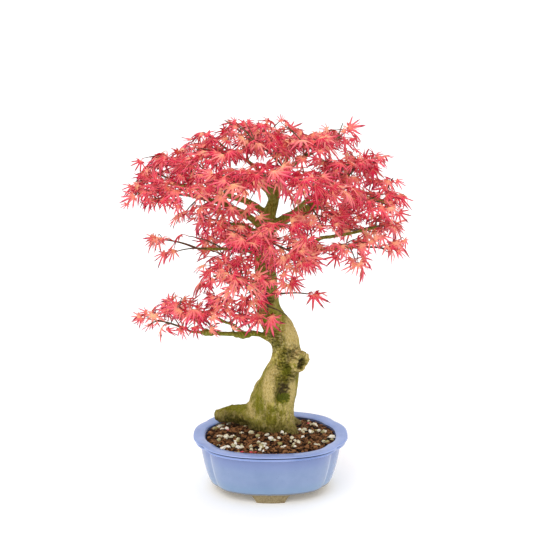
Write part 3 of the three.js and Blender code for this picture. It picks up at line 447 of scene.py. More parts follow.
# Finishes of one noise: its waves a metre and detail, the colours, the roughness, and a bump's waves a metre,
# depth in metres and strength. Young wood is olive brown, redder and greener by turns.
PLAIN_FINISHES = {
    "young_wood": (60, 4, [(0.3, 52, 38, 18), (0.5, 88, 78, 32), (0.62, 104, 52, 34), (0.75, 112, 108, 50)], 0.6,
                   (1500, 0.0005, 0.7)),
    "leaf_stalk": (90, 3, [(0.35, 176, 34, 48), (0.65, 214, 84, 66)], 0.45),
    "black_net": (300, 2, [(0.3, 20, 20, 20), (0.7, 42, 42, 42)], 0.55),
}


# Shader nodes

class Field:
    """A socket's value at each point of a surface. Sums and products of fields add the nodes for them."""

    def __init__(self, finish, socket):
        self.finish = finish
        self.socket = socket

    def maths(self, operation, first, second):
        return self.finish.node("ShaderNodeMath", {"operation": operation}, {0: first, 1: second})

    def __add__(self, other):
        return self.maths("ADD", self, other)

    def __radd__(self, other):
        return self.maths("ADD", other, self)

    def __sub__(self, other):
        return self.maths("SUBTRACT", self, other)

    def __rsub__(self, other):
        return self.maths("SUBTRACT", other, self)

    def __mul__(self, other):
        return self.maths("MULTIPLY", self, other)

    def __rmul__(self, other):
        return self.maths("MULTIPLY", other, self)


class Finish:
    """A material, and the calls that add nodes to it."""

    def __init__(self, name):
        self.material = bpy.data.materials.new(name)
        self.material.use_nodes = True
        self.tree = self.material.node_tree
        self.shader = self.tree.nodes["Principled BSDF"]

    def node(self, kind, settings=None, inputs=None, output=0):
        made = self.tree.nodes.new(kind)
        for name, value in (settings or {}).items():
            if name == "stops":
                self.set_stops(made.color_ramp, value)
            else:
                setattr(made, name, value)
        for key, value in (inputs or {}).items():
            self.feed(made.inputs[key], value)
        return Field(self, made.outputs[output])

    def feed(self, socket, value):
        if isinstance(value, Field):
            self.tree.links.new(value.socket, socket)
        else:
            socket.default_value = value

    def set_stops(self, ramp, stops):
        while len(ramp.elements) < len(stops):
            ramp.elements.new(1)
        for element, (place, *tone) in zip(ramp.elements, stops):
            element.position = place
            element.color = (*linear(*tone), 1)

    def set(self, **values):
        for name, value in values.items():
            self.feed(self.shader.inputs[name.replace("_", " ")], value)

    def place(self, scale=(1, 1, 1)):
        """The point of the surface in metres from the middle of the pot, stretched by scale."""
        coordinates = self.node("ShaderNodeTexCoord", output=3)
        moved = tuple(-c * s for c, s in zip(POT_MIDDLE, scale))
        return self.node("ShaderNodeMapping", inputs={0: coordinates, 1: moved, 3: scale})

    def height(self):
        """Height over the table in millimetres."""
        return self.node("ShaderNodeSeparateXYZ", inputs={0: self.place()}, output=2) * 1000

    def grain(self, scale, detail, roughness=0.55, stretch=(1, 1, 1)):
        """Smooth noise from 0 to 1. scale is in waves a metre."""
        inputs = {"Vector": self.place(stretch), "Scale": scale, "Detail": detail, "Roughness": roughness}
        return self.node("ShaderNodeTexNoise", inputs=inputs)

    def ramp(self, value, stops):
        """Colours along a value. Each stop is its place and a screen colour's red, green and blue."""
        return self.node("ShaderNodeValToRGB", {"stops": stops}, {0: value})

    def rise(self, value, low, high):
        """0 below low, 1 above high and smooth between them."""
        settings = {"interpolation_type": "SMOOTHSTEP"}
        return self.node("ShaderNodeMapRange", settings, {0: value, 1: low, 2: high, 3: 0, 4: 1})

    def blend(self, share, first, second):
        """The first colour where share is 0, and the second, a field or a screen colour, where it is 1."""
        if isinstance(second, tuple):
            second = (*linear(*second), 1)
        return self.node("ShaderNodeMix", {"data_type": "RGBA"}, {0: share, 6: first, 7: second}, output=2)

    def layers(self, base, rows):
        """A base colour and what lies over it. Each row is a share and its colour."""
        for share, tone in rows:
            base = self.blend(share, base, tone)
        return base

    def attribute(self, name):
        return self.node("ShaderNodeAttribute", {"attribute_name": name}, output=2)

    def bump(self, height, distance, strength):
        relief = {"Height": height, "Distance": distance, "Strength": strength}
        return self.node("ShaderNodeBump", inputs=relief)


def linear(red, green, blue):
    """A screen colour of 0 to 255 as linear light."""
    share = [c / 255 for c in (red, green, blue)]
    return tuple(c / 12.92 if c <= 0.04045 else ((c + 0.055) / 1.055) ** 2.4 for c in share)


def glaze_finish():
    """Periwinkle glaze, paler where it runs thin, with painted shade in the groove under the lip and in the recess
    under the bead.
    """
    finish = Finish("periwinkle_glaze")
    cloud = finish.grain(22, 4)
    height = finish.height()
    wall = finish.ramp(cloud, [(0.35, 114, 139, 180), (0.65, 131, 152, 191)])
    lip_glaze = finish.ramp(cloud, [(0.35, 116, 142, 202), (0.65, 142, 164, 220)])
    # Painted shade: a dark band in the groove between the bead and the lip, and a greyer one in the recess under the
    # bead
    groove_shade = finish.rise(height, 73.5, 74.1) - finish.rise(height, 75.7, 76.3)
    bead_recess_shade = finish.rise(height, 67.2, 68.0) - finish.rise(height, 69.6, 70.4)
    thin = finish.rise(finish.attribute("edge"), 0.3, 1.0)
    speck = finish.rise(finish.grain(420, 2), 0.7, 0.75)
    ragged = height + finish.grain(120, 3) * 2.4
    clay = 1 - finish.rise(ragged, 13.6, 14.5)
    edge_band = finish.rise(ragged, 14.2, 14.9) - finish.rise(ragged, 15.4, 16.6)
    wall = finish.layers(wall, [
        (finish.rise(height, 44, 66) * 0.75, (115, 134, 188)),
        ((1 - finish.rise(height, 14, 36)) * 0.7, (124, 156, 190)),
        (finish.rise(height, 69.5, 71.5), lip_glaze),
        (groove_shade * 0.9, (34, 38, 66)), (bead_recess_shade * 0.75, (88, 98, 138)), (thin * 0.6, (186, 202, 230)),
        (speck * 0.5, (88, 98, 140)), (clay, clay_colour(finish)), (edge_band * 0.75, (96, 82, 62)),
    ])
    finish.set(Base_Color=wall, Roughness=0.22 + clay * 0.55, Coat_Weight=(1 - clay) * 0.5)
    finish.set(Coat_Roughness=0.1)
    relief = finish.grain(60, 2) * (1 - clay) * 0.5 + finish.grain(700, 3) * clay
    finish.set(Normal=finish.bump(relief, 0.0006, 0.5))
    return finish.material


def clay_colour(finish):
    """The unglazed clay of the pot's foot."""
    fleck = finish.grain(500, 4)
    return finish.ramp(fleck, [(0.3, 120, 102, 70), (0.55, 150, 134, 98), (0.75, 170, 154, 118)])


def inner_glaze_finish():
    """The inside wall's glaze, painted deep blue for the shade that falls inside the pot."""
    finish = Finish("inner_glaze_painted_shade")
    cloud = finish.grain(80, 4)
    finish.set(Base_Color=finish.ramp(cloud, [(0.35, 38, 50, 92), (0.7, 72, 88, 140)]))
    finish.set(Roughness=0.3 + cloud * 0.2)
    return finish.material


def bark_finish():
    """Smooth maple bark: beige and olive lengthwise stripes, dark flecks, folds and green moss, with painted shade
    at the trunk's foot, under the roots and in the folds, and painted light on the callus lip and the left root's
    top.
    """
    finish = Finish("maple_bark")
    stripe = finish.grain(150, 5, 0.6, (1, 1, 0.14))
    fine = finish.grain(620, 4, 0.62, (1, 1, 0.4))
    patch = finish.grain(34, 4, 0.6)
    height = finish.height()
    wood = finish.ramp(stripe, [
        (0.28, 84, 76, 16), (0.4, 148, 136, 48), (0.5, 196, 182, 92),
        (0.6, 214, 192, 130), (0.72, 158, 146, 56),
    ])
    mottle = finish.grain(210, 5, 0.7, (1, 1, 0.7))
    olive = finish.ramp(fine, [(0.3, 62, 62, 6), (0.52, 130, 126, 30), (0.75, 172, 158, 68)])
    pale_wood = finish.ramp(fine, [(0.35, 170, 148, 78), (0.5, 198, 178, 110), (0.7, 216, 198, 142)])
    fleck = finish.rise(finish.grain(620, 4, 0.65, (1, 1, 0.75)), 0.57, 0.66)
    high_wood = finish.ramp(fine, [
        (0.3, 66, 72, 14), (0.45, 118, 124, 38), (0.6, 152, 154, 68), (0.75, 186, 180, 122),
    ])
    tuft = finish.grain(900, 4)
    green = finish.ramp(tuft, [(0.3, 60, 66, 2), (0.45, 106, 110, 10), (0.6, 142, 140, 32), (0.76, 176, 162, 76)])
    deep_green = finish.ramp(tuft, [(0.3, 44, 54, 0), (0.7, 96, 108, 16)])
    mossy, folded = finish.attribute("moss"), finish.attribute("folded")
    green = finish.blend(finish.rise(mossy, 0.9, 1.2), green, deep_green)
    moss = finish.rise(mossy + patch * 0.45 + finish.grain(260, 4, 0.7) * 0.9, 0.92, 1.42)
    wrinkle = finish.rise(finish.grain(330, 4, 0.65, (0.4, 0.4, 1.7)), 0.5, 0.57)
    # Painted shade at the trunk's foot, darker down towards the soil
    foot_shade = 1 - finish.rise(height + patch * 18 + finish.grain(180, 4) * 16, 94, 122)
    foot_shade_wood = finish.ramp(fine, [(0.32, 30, 24, 10), (0.48, 88, 74, 42), (0.66, 140, 120, 82)])
    shade_wood = finish.ramp(fine, [(0.3, 30, 30, 4), (0.5, 66, 62, 14), (0.72, 112, 102, 40)])
    hollow_wood = finish.ramp(fine, [(0.35, 24, 18, 6), (0.7, 70, 56, 28)])
    wood = finish.layers(wood, [
        (finish.rise(mottle, 0.52, 0.62) * 0.7, (104, 94, 24)),
        ((1 - finish.rise(mottle, 0.36, 0.46)) * 0.6, (224, 206, 142)),
        (finish.rise(fine, 0.52, 0.62) * 0.6, (92, 78, 26)),
        (finish.rise(patch, 0.46, 0.6) * 0.75, olive),
        (finish.rise(finish.attribute("pale") + patch * 0.5, 0.5, 1.0), pale_wood),
        (fleck * 0.6, (72, 58, 22)), (finish.attribute("young") * 0.9, high_wood), (moss * 0.9, green),
        (finish.rise(folded, 0.1, 0.7) * wrinkle * 0.85, (62, 60, 8)), (foot_shade * 0.85, foot_shade_wood),
        (finish.attribute("shade"), shade_wood), (finish.attribute("hollow"), hollow_wood),
    ])
    finish.set(Base_Color=wood, Roughness=0.72 + moss * 0.22)
    finish.set(Specular_IOR_Level=0.12)
    relief = stripe * 0.4 + fine * 0.5 - fleck * 0.4
    relief = relief - wrinkle * folded * 0.6 + moss * finish.grain(1500, 3) * 0.9
    finish.set(Normal=finish.bump(relief, 0.002, 0.9))
    return finish.material


def plain_finish(name):
    """A finish of one noise, from its row in the table."""
    scale, detail, stops, roughness, *bumps = PLAIN_FINISHES[name]
    finish = Finish(name)
    finish.set(Base_Color=finish.ramp(finish.grain(scale, detail), stops), Roughness=roughness)
    for waves, depth, strength in bumps:
        finish.set(Normal=finish.bump(finish.grain(waves, 3), depth, strength))
    return finish.material


def leaf_finish():
    """Coral to crimson leaves, deeper at the tips, with a yellow to orange middle that runs up the ribs, and a faint
    painted glow in their own colour.
    """
    finish = Finish("maple_leaf")
    reach = finish.attribute("reach")
    rib = finish.attribute("rib")
    tint = finish.attribute("tint") + finish.attribute("tone") * 0.09
    cloud = finish.grain(160, 3)
    along = reach + (cloud - 0.5) * 0.3
    coral = finish.ramp(along, [
        (0.0, 248, 170, 116), (0.2, 244, 120, 118), (0.5, 238, 82, 114),
        (0.8, 222, 44, 100), (1.0, 184, 16, 68),
    ])
    crimson = finish.ramp(along, [
        (0.0, 232, 76, 80), (0.22, 216, 26, 76), (0.6, 194, 8, 60), (1.0, 144, 2, 40),
    ])
    peach = finish.ramp(along, [
        (0.0, 250, 200, 142), (0.3, 247, 156, 136), (0.7, 242, 120, 130), (1.0, 218, 60, 98),
    ])
    vein = (1 - finish.rise(rib, 0.0, 0.3)) * (1 - finish.rise(reach, 0.5, 0.95))
    blade = finish.layers(coral, [
        (finish.rise(tint, 0.36, 0.78), crimson), (1 - finish.rise(tint, 0.04, 0.36), peach),
        (vein * 0.5, (253, 182, 150)),
    ])
    # Painted light: the leaves glow faintly in their own colour, as light through them would show
    finish.set(Base_Color=blade, Roughness=0.45 + cloud * 0.12, Emission_Color=blade)
    finish.set(Emission_Strength=0.08)
    finish.set(Specular_IOR_Level=0.25)
    finish.set(Normal=finish.bump(finish.grain(1400, 2), 0.0003, 0.5))
    return finish.material


def grain_finish(name, dark, middle, light, scale=260):
    """Grains that each have their own tone, with flecks."""
    finish = Finish(name)
    tone = finish.attribute("tint")
    fleck = finish.grain(scale, 4)
    mixed = tone * 0.7 + fleck * 0.5
    finish.set(Base_Color=finish.ramp(mixed, [(0.3, *dark), (0.58, *middle), (0.85, *light)]))
    finish.set(Roughness=0.85, Normal=finish.bump(finish.grain(1600, 4), 0.0008, 0.8))
    finish.set(Specular_IOR_Level=0.15)
    return finish.material


# Modelling tools

def deselect():
    bpy.ops.object.select_all(action="DESELECT")


def select_only(piece):
    deselect()
    piece.select_set(True)
    bpy.context.view_layer.objects.active = piece


@contextmanager
def editing(piece, action="SELECT"):
    """Edit mode on one piece, with all of it selected first, or none of it."""
    select_only(piece)
    bpy.ops.object.mode_set(mode="EDIT")
    bpy.ops.mesh.select_all(action=action)
    yield
    bpy.ops.object.mode_set(mode="OBJECT")


def linked(name, data):
    """A new object for this data, in the scene."""
    piece = bpy.data.objects.new(name, data)
    bpy.context.scene.collection.objects.link(piece)
    return piece


def made_by(operator, name, **settings):
    """The object that an operator makes, under its own name."""
    operator(**settings)
    piece = bpy.context.object
    piece.name = name
    piece.data.name = name
    return piece


def apply_place(piece):
    select_only(piece)
    bpy.ops.object.transform_apply(location=True, rotation=True, scale=True)


def modify(piece, kind, **settings):
    """Adds a modifier with these settings and applies it."""
    select_only(piece)
    modifier = piece.modifiers.new(kind.title(), kind)
    for name, value in settings.items():
        setattr(modifier, name, value)
    bpy.ops.object.modifier_apply(modifier=modifier.name)


def join(pieces, name):
    """One object of them all, with the first one's data."""
    deselect()
    for piece in pieces:
        piece.select_set(True)
    bpy.context.view_layer.objects.active = pieces[0]
    return made_by(bpy.ops.object.join, name)


def smooth(piece, degrees):
    select_only(piece)
    bpy.ops.object.shade_smooth_by_angle(angle=math.radians(degrees))


def outward(piece):
    """Merges doubled points and turns every face outwards."""
    with editing(piece):
        bpy.ops.mesh.remove_doubles(threshold=1e-6)
        bpy.ops.mesh.normals_make_consistent(inside=False)


def finished(piece, nodes):
    """A piece of the plant that moves with it and stands for those solids."""
    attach(piece, "root")
    if nodes:
        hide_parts(*nodes)


def set_numbers(mesh, name, values):
    """Keeps one number at each point of a mesh, for the shader."""
    layer = mesh.attributes.new(name, "FLOAT", "POINT")
    layer.data.foreach_set("value", np.asarray(values, dtype=np.float32))


def points_of(mesh):
    flat = np.empty(3 * len(mesh.vertices), dtype=np.float32)
    mesh.vertices.foreach_get("co", flat)
    return flat.reshape(-1, 3).astype(float)


def draw(spray, leaf, number):
    """A repeatable random number from 0 to 1, the same as in the solids."""
    wave = math.sin(spray * 127.1 + leaf * 311.7 + number * 74.7 + SEED) * 43758.5453
    return wave - math.floor(wave)


def drawn(span, spray, leaf, number):
    """A draw from a span, which is its least and its width."""
    return span[0] + span[1] * draw(spray, leaf, number)


class Pattern:
    """One shape that is copied many times: its points, faces and the numbers kept at its points."""

    def __init__(self, points, faces, numbers):
        self.points = np.asarray(points, dtype=float)
        self.faces = faces
        self.numbers = numbers


def copies(name, placed, material):
    """One object with a copy of a pattern at each place. placed is a list of (pattern, matrix, tint)."""
    names = list(placed[0][0].numbers)
    points, faces, numbers, tints = [], [], {n: [] for n in names}, []
    first = 0
    for pattern, matrix, tint in placed:
        m = np.array(matrix)
        points.append(pattern.points @ m[:3, :3].T + m[:3, 3])
        faces.extend([tuple(first + i for i in face) for face in pattern.faces])
        for n in names:
            numbers[n].append(pattern.numbers[n])
        tints.append(np.full(len(pattern.points), tint))
        first += len(pattern.points)
    mesh = bpy.data.meshes.new(name)
    mesh.from_pydata(np.concatenate(points).tolist(), [], faces)
    for n in names:
        set_numbers(mesh, n, np.concatenate(numbers[n]))
    set_numbers(mesh, "tint", np.concatenate(tints))
    mesh.materials.append(material)
    return linked(name, mesh)


def strands(name, runs, material, sides=6):
    """Round twigs of changing thickness. Each run is a list of (point in millimetres, radius)."""
    curve = bpy.data.curves.new(name, "CURVE")
    curve.dimensions = "3D"
    curve.bevel_depth = MM
    curve.bevel_resolution = (sides - 4) // 2  # a resolution of n gives 2n + 4 sides
    curve.use_fill_caps = True
    for run in runs:
        spline = curve.splines.new("POLY")
        spline.points.add(len(run) - 1)
        for knot, (point, radius) in zip(spline.points, run):
            knot.co = (*at(*point), 1)
            knot.radius = radius
    curve.materials.append(material)
    select_only(linked(name, curve))
    return made_by(bpy.ops.object.convert, name, target="MESH")


# Pot

def oval_share(turn):
    """The pot's outline as a share of its half width and half depth, at a turn in radians."""
    power = 2 / ROUNDNESS
    quarter = abs(math.atan2(math.sin(turn), math.cos(turn)))
    away = abs(min(quarter, math.pi - quarter) - math.radians(CREASE_TURN))
    dip = 1 - CREASE_DEPTH * max(0, 1 - away / CREASE_REACH) ** 1.5
    return [math.copysign(abs(c) ** power, c) * dip for c in (math.cos(turn), math.sin(turn))]


def ringed_form(name, section):
    """A closed form whose outline is the pot's oval, drawn up through the rings of its section."""
    height, width, depth = section[0]
    piece = made_by(bpy.ops.mesh.primitive_circle_add, name, vertices=OUTLINE_POINTS, radius=1, fill_type="NGON")
    for vertex in piece.data.vertices:
        x, y = oval_share(math.atan2(vertex.co.y, vertex.co.x))
        vertex.co = at(x * width, y * depth, height)
    with editing(piece):
        for rise, wide, deep in section[1:]:
            bpy.ops.mesh.extrude_region_move(TRANSFORM_OT_translate={"value": (0, 0, (rise - height) * MM)})
            stretch = (wide / width, deep / depth, 1)
            bpy.ops.transform.resize(value=stretch, center_override=POT_MIDDLE)
            height, width, depth = rise, wide, deep
    outward(piece)
    return piece


def make_foot(turn, top, bottom, out, slope, depth, bend):
    """A clay bracket under the wall, wider at the top, that follows the pot's bottom edge."""
    piece = made_by(bpy.ops.mesh.primitive_cube_add, "foot", size=2)
    with editing(piece):
        bpy.ops.mesh.subdivide(number_cuts=7)
    for vertex in piece.data.vertices:
        rise = (vertex.co.z + 1) / 2
        half = bottom + (top - bottom) * rise ** FOOT_CURVE
        along = vertex.co.x * half
        front = slope * (1 - rise)
        back = max(depth, slope + FOOT_BACK) if rise < 0.5 else depth
        inward = front + (back - front) * (vertex.co.y + 1) / 2
        sagitta = bend - math.sqrt(bend * bend - along * along)
        vertex.co = (along, inward + sagitta - out, rise * (FOOT_HEIGHT + FOOT_BITE))
    piece.data.transform(Matrix.Rotation(turn * math.pi / 2, 4, "Z"))
    piece.data.transform(Matrix.Translation(POT_MIDDLE) @ Matrix.Scale(MM, 4))
    outward(piece)
    modify(piece, "BEVEL", width=FOOT_BEVEL * MM, segments=2, limit_method="ANGLE", angle_limit=math.radians(50))
    return piece


def drain_cutter(side):
    cutter = made_by(bpy.ops.mesh.primitive_cylinder_add, "drain_cutter", vertices=40, radius=DRAIN_RADIUS * MM,
                     depth=DRAIN_CUT * MM, location=at(side * DRAIN_OFFSET, 0, DRAIN_HEIGHT))
    apply_place(cutter)
    return cutter


def cut_or_add(piece, other, operation):
    modify(piece, "BOOLEAN", operation=operation, object=other, solver="EXACT")
    bpy.data.objects.remove(other)


def make_pot():
    deselect()
    pot = ringed_form("glazed_pot", POT_SECTION)
    for turn in range(4):
        cut_or_add(pot, make_foot(turn, **(SIDE_FOOT if turn % 2 else FRONT_FOOT)), "UNION")
    for side in (-1, 1):
        cut_or_add(pot, drain_cutter(side), "DIFFERENCE")
    pot.data.materials.append(glaze_finish())
    pot.data.materials.append(inner_glaze_finish())
    for face in pot.data.polygons:
        inside = (face.center - POT_MIDDLE).to_2d().dot(face.normal.to_2d()) < -1e-4
        face.material_index = int(inside and INNER_GLAZE[0] * MM < face.center.z < INNER_GLAZE[1] * MM)
    set_numbers(pot.data, "edge", [thin_glaze(v.co) for v in pot.data.vertices])
    smooth(pot, 38)
    finished(pot, ["pot"])


def thin_glaze(point):
    """1 on the creases and the lip's edges, where the glaze runs thin, and 0 on the open wall."""
    x, y, z = (point - POT_MIDDLE) / MM
    turn = math.atan2(abs(y) / POT_DEPTH_SHARE, abs(x))
    crease = max(0, 1 - abs(turn - math.radians(CREASE_TURN + 3)) / 0.05) if 14 < z < 74 else 0
    outer = math.hypot(x / LIP_EDGE[0], y / LIP_EDGE[1]) > 0.93
    lip = max(0, 1 - abs(z - LIP_EDGE[2]) / 0.9) if outer else 0
    return max(crease, lip)


def make_net(side):
    """A square of plastic net over a drain hole."""
    node = "drain_mesh_" + side
    low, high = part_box(node)
    middle = (Vector(low) + Vector(high)) / 2
    width = high[0] - low[0] - NET_WIRE * MM
    net = made_by(bpy.ops.mesh.primitive_grid_add, "net_" + side,
                  x_subdivisions=NET_HOLES, y_subdivisions=NET_HOLES, size=width)
    net.data.transform(Matrix.Translation(middle))
    modify(net, "WIREFRAME", thickness=NET_WIRE * MM, use_replace=True, use_boundary=True)
    net.data.materials.append(plain_finish("black_net"))
    outward(net)
    finished(net, [node])


# Soil

def soil_height(x, y):
    """The soil's low mound, without its roughness."""
    share = min(1, math.hypot(x / SOIL_OVAL[0], y / SOIL_OVAL[1]))
    return SOIL_EDGE + SOIL_MOUND * (1 - share ** 1.6)


def make_soil_bed():
    width, depth = SOIL_OVAL
    section = SOIL_SIDE + [(SOIL_EDGE, width * share, depth * share) for share in SOIL_RINGS]
    bed = ringed_form("soil_bed", section)
    for vertex in bed.data.vertices:
        x, y, z = (vertex.co - POT_MIDDLE) / MM
        if z > SOIL_EDGE - 0.5:
            rough = 1.6 * noise.noise(Vector((x, y, 0)) * 0.21)
            vertex.co.z = (soil_height(x, y) - GRAIN_DEPTH + rough) * MM
    bed.data.materials.append(grain_finish("damp_soil", (28, 16, 10), (60, 34, 20), (96, 58, 36)))
    set_numbers(bed.data, "tint", [0.2] * len(bed.data.vertices))
    smooth(bed, 60)
    finished(bed, ["soil"])


def grain_pattern(number, flatness):
    """An angular crumb about 1 mm across."""
    crumb = made_by(bpy.ops.mesh.primitive_ico_sphere_add, "crumb", subdivisions=2, radius=0.5)
    for vertex in crumb.data.vertices:
        push = noise.noise(vertex.co * 2.6 + Vector((number * 7.3, 1.7, 0)))
        vertex.co *= 1 + 0.55 * push
        vertex.co.z *= flatness
    modify(crumb, "DECIMATE", ratio=CRUMB_FACES)
    mesh = crumb.data
    pattern = Pattern(points_of(mesh), [tuple(p.vertices) for p in mesh.polygons], {})
    bpy.data.objects.remove(crumb)
    return pattern


def scattered(name, patterns, count, sizes, material, rand, sink=0.25, reach=0.985, clump=1, longest=1.5):
    """Grains strewn over the soil's oval, turned at random, with up to clump of them in one place."""
    placed = []
    spot, left = None, 0
    while len(placed) < count:
        size = rand.uniform(*sizes)
        if left == 0:
            spot = strewn_spot(rand, reach)
            left = rand.randint(1, clump)
        left -= 1
        aside = [rand.uniform(-1, 1) * size * CLUMP_SPREAD for _ in range(2)] if clump > 1 else (0, 0)
        x, y = (share * (half - size * WALL_GAP) + off for share, half, off in zip(spot, SOIL_OVAL, aside))
        z = soil_height(x, y) - GRAIN_DEPTH + size * (0.5 - sink) + rand.uniform(0, GRAIN_RISE)
        turn = Matrix.Rotation(rand.uniform(0, 2 * math.pi), 4, "Z")
        turn = turn @ Matrix.Rotation(rand.uniform(-GRAIN_TIP, GRAIN_TIP), 4, "X")
        shape = [rand.uniform(*span) for span in ((1, longest), (GRAIN_WIDTH, 1), (GRAIN_HEIGHT, 1))]
        stretch = Matrix.Diagonal((*shape, 1))
        matrix = Matrix.Translation(at(x, y, z)) @ turn @ stretch @ Matrix.Scale(size * MM, 4)
        placed.append((rand.choice(patterns), matrix, rand.random()))
    piece = copies(name, placed, material)
    outward(piece)
    smooth(piece, 22)
    finished(piece, [])


def strewn_spot(rand, reach):
    """A point of the soil's oval, as a share of its half width and half depth."""
    out = math.sqrt(rand.uniform(0, reach))
    return [share * out for share in oval_share(rand.uniform(0, 2 * math.pi))]


def make_soil():
    rand = random.Random(SEED)
    make_soil_bed()
    flakes = [grain_pattern(n, 0.5) for n in range(4)]
    lumps = [grain_pattern(n + 10, 0.85) for n in range(4)]
    bark = grain_finish("bark_chips", (22, 13, 6), (82, 52, 28), (146, 102, 64))
    clay = grain_finish("baked_clay", (54, 34, 18), (104, 68, 40), (156, 110, 72))
    stone = grain_finish("pumice", (158, 148, 92), (208, 200, 166), (244, 240, 226), 700)
    scattered("bark_chips", flakes, *BARK_CHIPS, bark, rand, longest=2.2)
    scattered("clay_grains", lumps, *CLAY_GRAINS, clay, rand)
    scattered("pumice_grains", lumps, *PUMICE_GRAINS, stone, rand, sink=0.05, reach=0.93, clump=3)


# Trunk

def path_of(carrier):
    """The points of the wood that carries a spray."""
    return TRUNK if carrier == "trunk" else LIMBS[carrier]


def smooth_path(path, steps):
    """More points on a soft curve through a path's points."""
    rows = [np.array(row, dtype=float) for row in path]
    ends = [2 * rows[0] - rows[1], *rows, 2 * rows[-1] - rows[-2]]
    fine = []
    for i in range(1, len(ends) - 2):
        before, start, end, after = ends[i - 1:i + 3]
        for k in range(steps):
            t = k / steps
            bend = (end - before) * t + (2 * before - 5 * start + 4 * end - after) * t * t
            fine.append(start + 0.5 * (bend + (3 * start - before - 3 * end + after) * t ** 3))
    return fine + [rows[-1]]


def flare(angle, rise):
    """How far the trunk's foot swells towards each surface root, fading as it rises."""
    fade = max(0, 1 - rise / FLARE_RINGS)
    swell = 0
    for root_angle, reach, width in FLARE:
        away = math.atan2(math.sin(angle - math.radians(root_angle)), math.cos(angle - math.radians(root_angle)))
        swell += reach * math.exp(-((away / width) ** 2))
    return 1 + fade * swell + FOOT_WAVE * math.sin(3 * angle + rise * 1.3)


def make_bole():
    """The trunk itself, with the root flare, as rings joined up its path."""
    path = smooth_path(TRUNK, BOLE_STEPS)
    bole = made_by(bpy.ops.mesh.primitive_cylinder_add, "bole",
                   vertices=BOLE_SIDES, radius=1, depth=1, end_fill_type="NGON")
    with editing(bole, "DESELECT"):
        pass  # nothing stays selected, so that only the top face is drawn up
    for face in bole.data.polygons:
        face.select = face.normal.z > 0.9
    bpy.ops.object.mode_set(mode="EDIT")
    for _ in range(len(path) - 2):
        bpy.ops.mesh.extrude_region_move(TRANSFORM_OT_translate={"value": (0, 0, 1)})
    bpy.ops.object.mode_set(mode="OBJECT")
    for vertex in bole.data.vertices:
        ring = round(vertex.co.z + 0.5)
        angle = math.atan2(vertex.co.y, vertex.co.x)
        vertex.co = ring_point(path, ring, angle, ring / BOLE_STEPS)
    outward(bole)
    return bole


def ring_point(path, ring, angle, rise):
    before, after = path[max(ring - 1, 0)], path[min(ring + 1, len(path) - 1)]
    along = Vector(after[:3] - before[:3]).normalized()
    side = (Vector((1, 0, 0)) - along * along.x).normalized()
    other = along.cross(side)
    radius = path[ring][3] * flare(angle, rise)
    most, height, span = LEAN
    lean = Vector((most * math.exp(-((path[ring][2] - height) / span) ** 2), 0, 0))
    return at(*(lean + Vector(path[ring][:3]) + (side * math.cos(angle) + other * math.sin(angle)) * radius))


def make_callus():
    """The rolled lip of bark round a cut branch, with the old wood sunk in its middle."""
    turn = CALLUS_AXIS.to_track_quat("Z", "Y").to_matrix().to_4x4()
    lip = made_by(bpy.ops.mesh.primitive_torus_add, "callus_lip", major_radius=CALLUS_RING * MM,
                  minor_radius=CALLUS_ROLL * MM, major_segments=40, minor_segments=14)
    lip.data.transform(Matrix.Translation(at(*(CALLUS_AT + CALLUS_AXIS * CALLUS_OUT))) @ turn)
    stump = made_by(bpy.ops.mesh.primitive_cone_add, "callus_stump", vertices=32,
                    **{name: size * MM for name, size in STUMP.items()})
    stump.data.transform(Matrix.Translation(at(*(CALLUS_AT - CALLUS_AXIS * STUMP_IN))) @ turn)
    return [lip, stump]


def burl(x, y, z, size):
    knob = made_by(bpy.ops.mesh.primitive_uv_sphere_add, "burl", segments=20, ring_count=12, radius=size * MM)
    knob.data.transform(Matrix.Translation(at(x, y, z)) @ Matrix.Diagonal(BURL_SHAPE))
    return knob


def make_wood(material):
    """Trunk, roots and limbs, grown together under one skin."""
    collars = [smooth_path(path, COLLAR_STEPS) for path in LIMBS.values()]
    runs = [[(tuple(row[:3]), row[3] * COLLAR_SHARE) for row in path[:COLLAR_ROWS]] for path in collars]
    roots = [[(tuple(row[:3]), row[3]) for row in smooth_path(path, COLLAR_STEPS)] for path in ROOTS]
    parts = [make_bole(), strands("collars", runs, material, 12), strands("roots", roots, material, 16)]
    parts += make_callus() + [burl(*row) for row in BURLS]
    trunk = join(parts, "maple_trunk")
    modify(trunk, "REMESH", mode="VOXEL", voxel_size=SKIN_VOXEL * MM)
    modify(trunk, "SMOOTH", factor=0.5, iterations=SKIN_SMOOTHING)
    sculpt(trunk)
    trunk.data.materials.clear()
    trunk.data.materials.append(material)
    smooth(trunk, 80)
    finished(trunk, ["trunk"])


def sculpt(trunk):
    """Bark relief, the two scars and the hollow of the stump, pushed along the skin's normals."""
    mesh = trunk.data
    numbers = {name: [] for name in LIMB_NUMBERS}
    moved = []
    for vertex in mesh.vertices:
        push, here = bark_at((vertex.co - POT_MIDDLE) / MM)
        moved.append(vertex.co + vertex.normal * push * MM)
        for name, value in here.items():
            numbers[name].append(value)
    for vertex, place in zip(mesh.vertices, moved):
        vertex.co = place
    for name, values in numbers.items():
        set_numbers(mesh, name, values)


def away_from(p, middle, size):
    """How far p is from the middle of an ellipsoid, as a share of the ellipsoid's size."""
    return math.sqrt(sum(((a - b) / s) ** 2 for a, b, s in zip(p, middle, size)))


def bump_at(p, middle, size):
    """1 in the middle of an ellipsoid, falling to 0 at twice its size."""
    return max(0, 1 - away_from(p, middle, size) / 2)


def strongest(p, spots):
    """The most that any of these spots, each a middle, a size and a strength, gives at p."""
    return max(strength * bump_at(p, middle, size) for middle, size, strength in spots)


def share_between(value, low, high):
    return min(1, max(0, (value - low) / (high - low)))


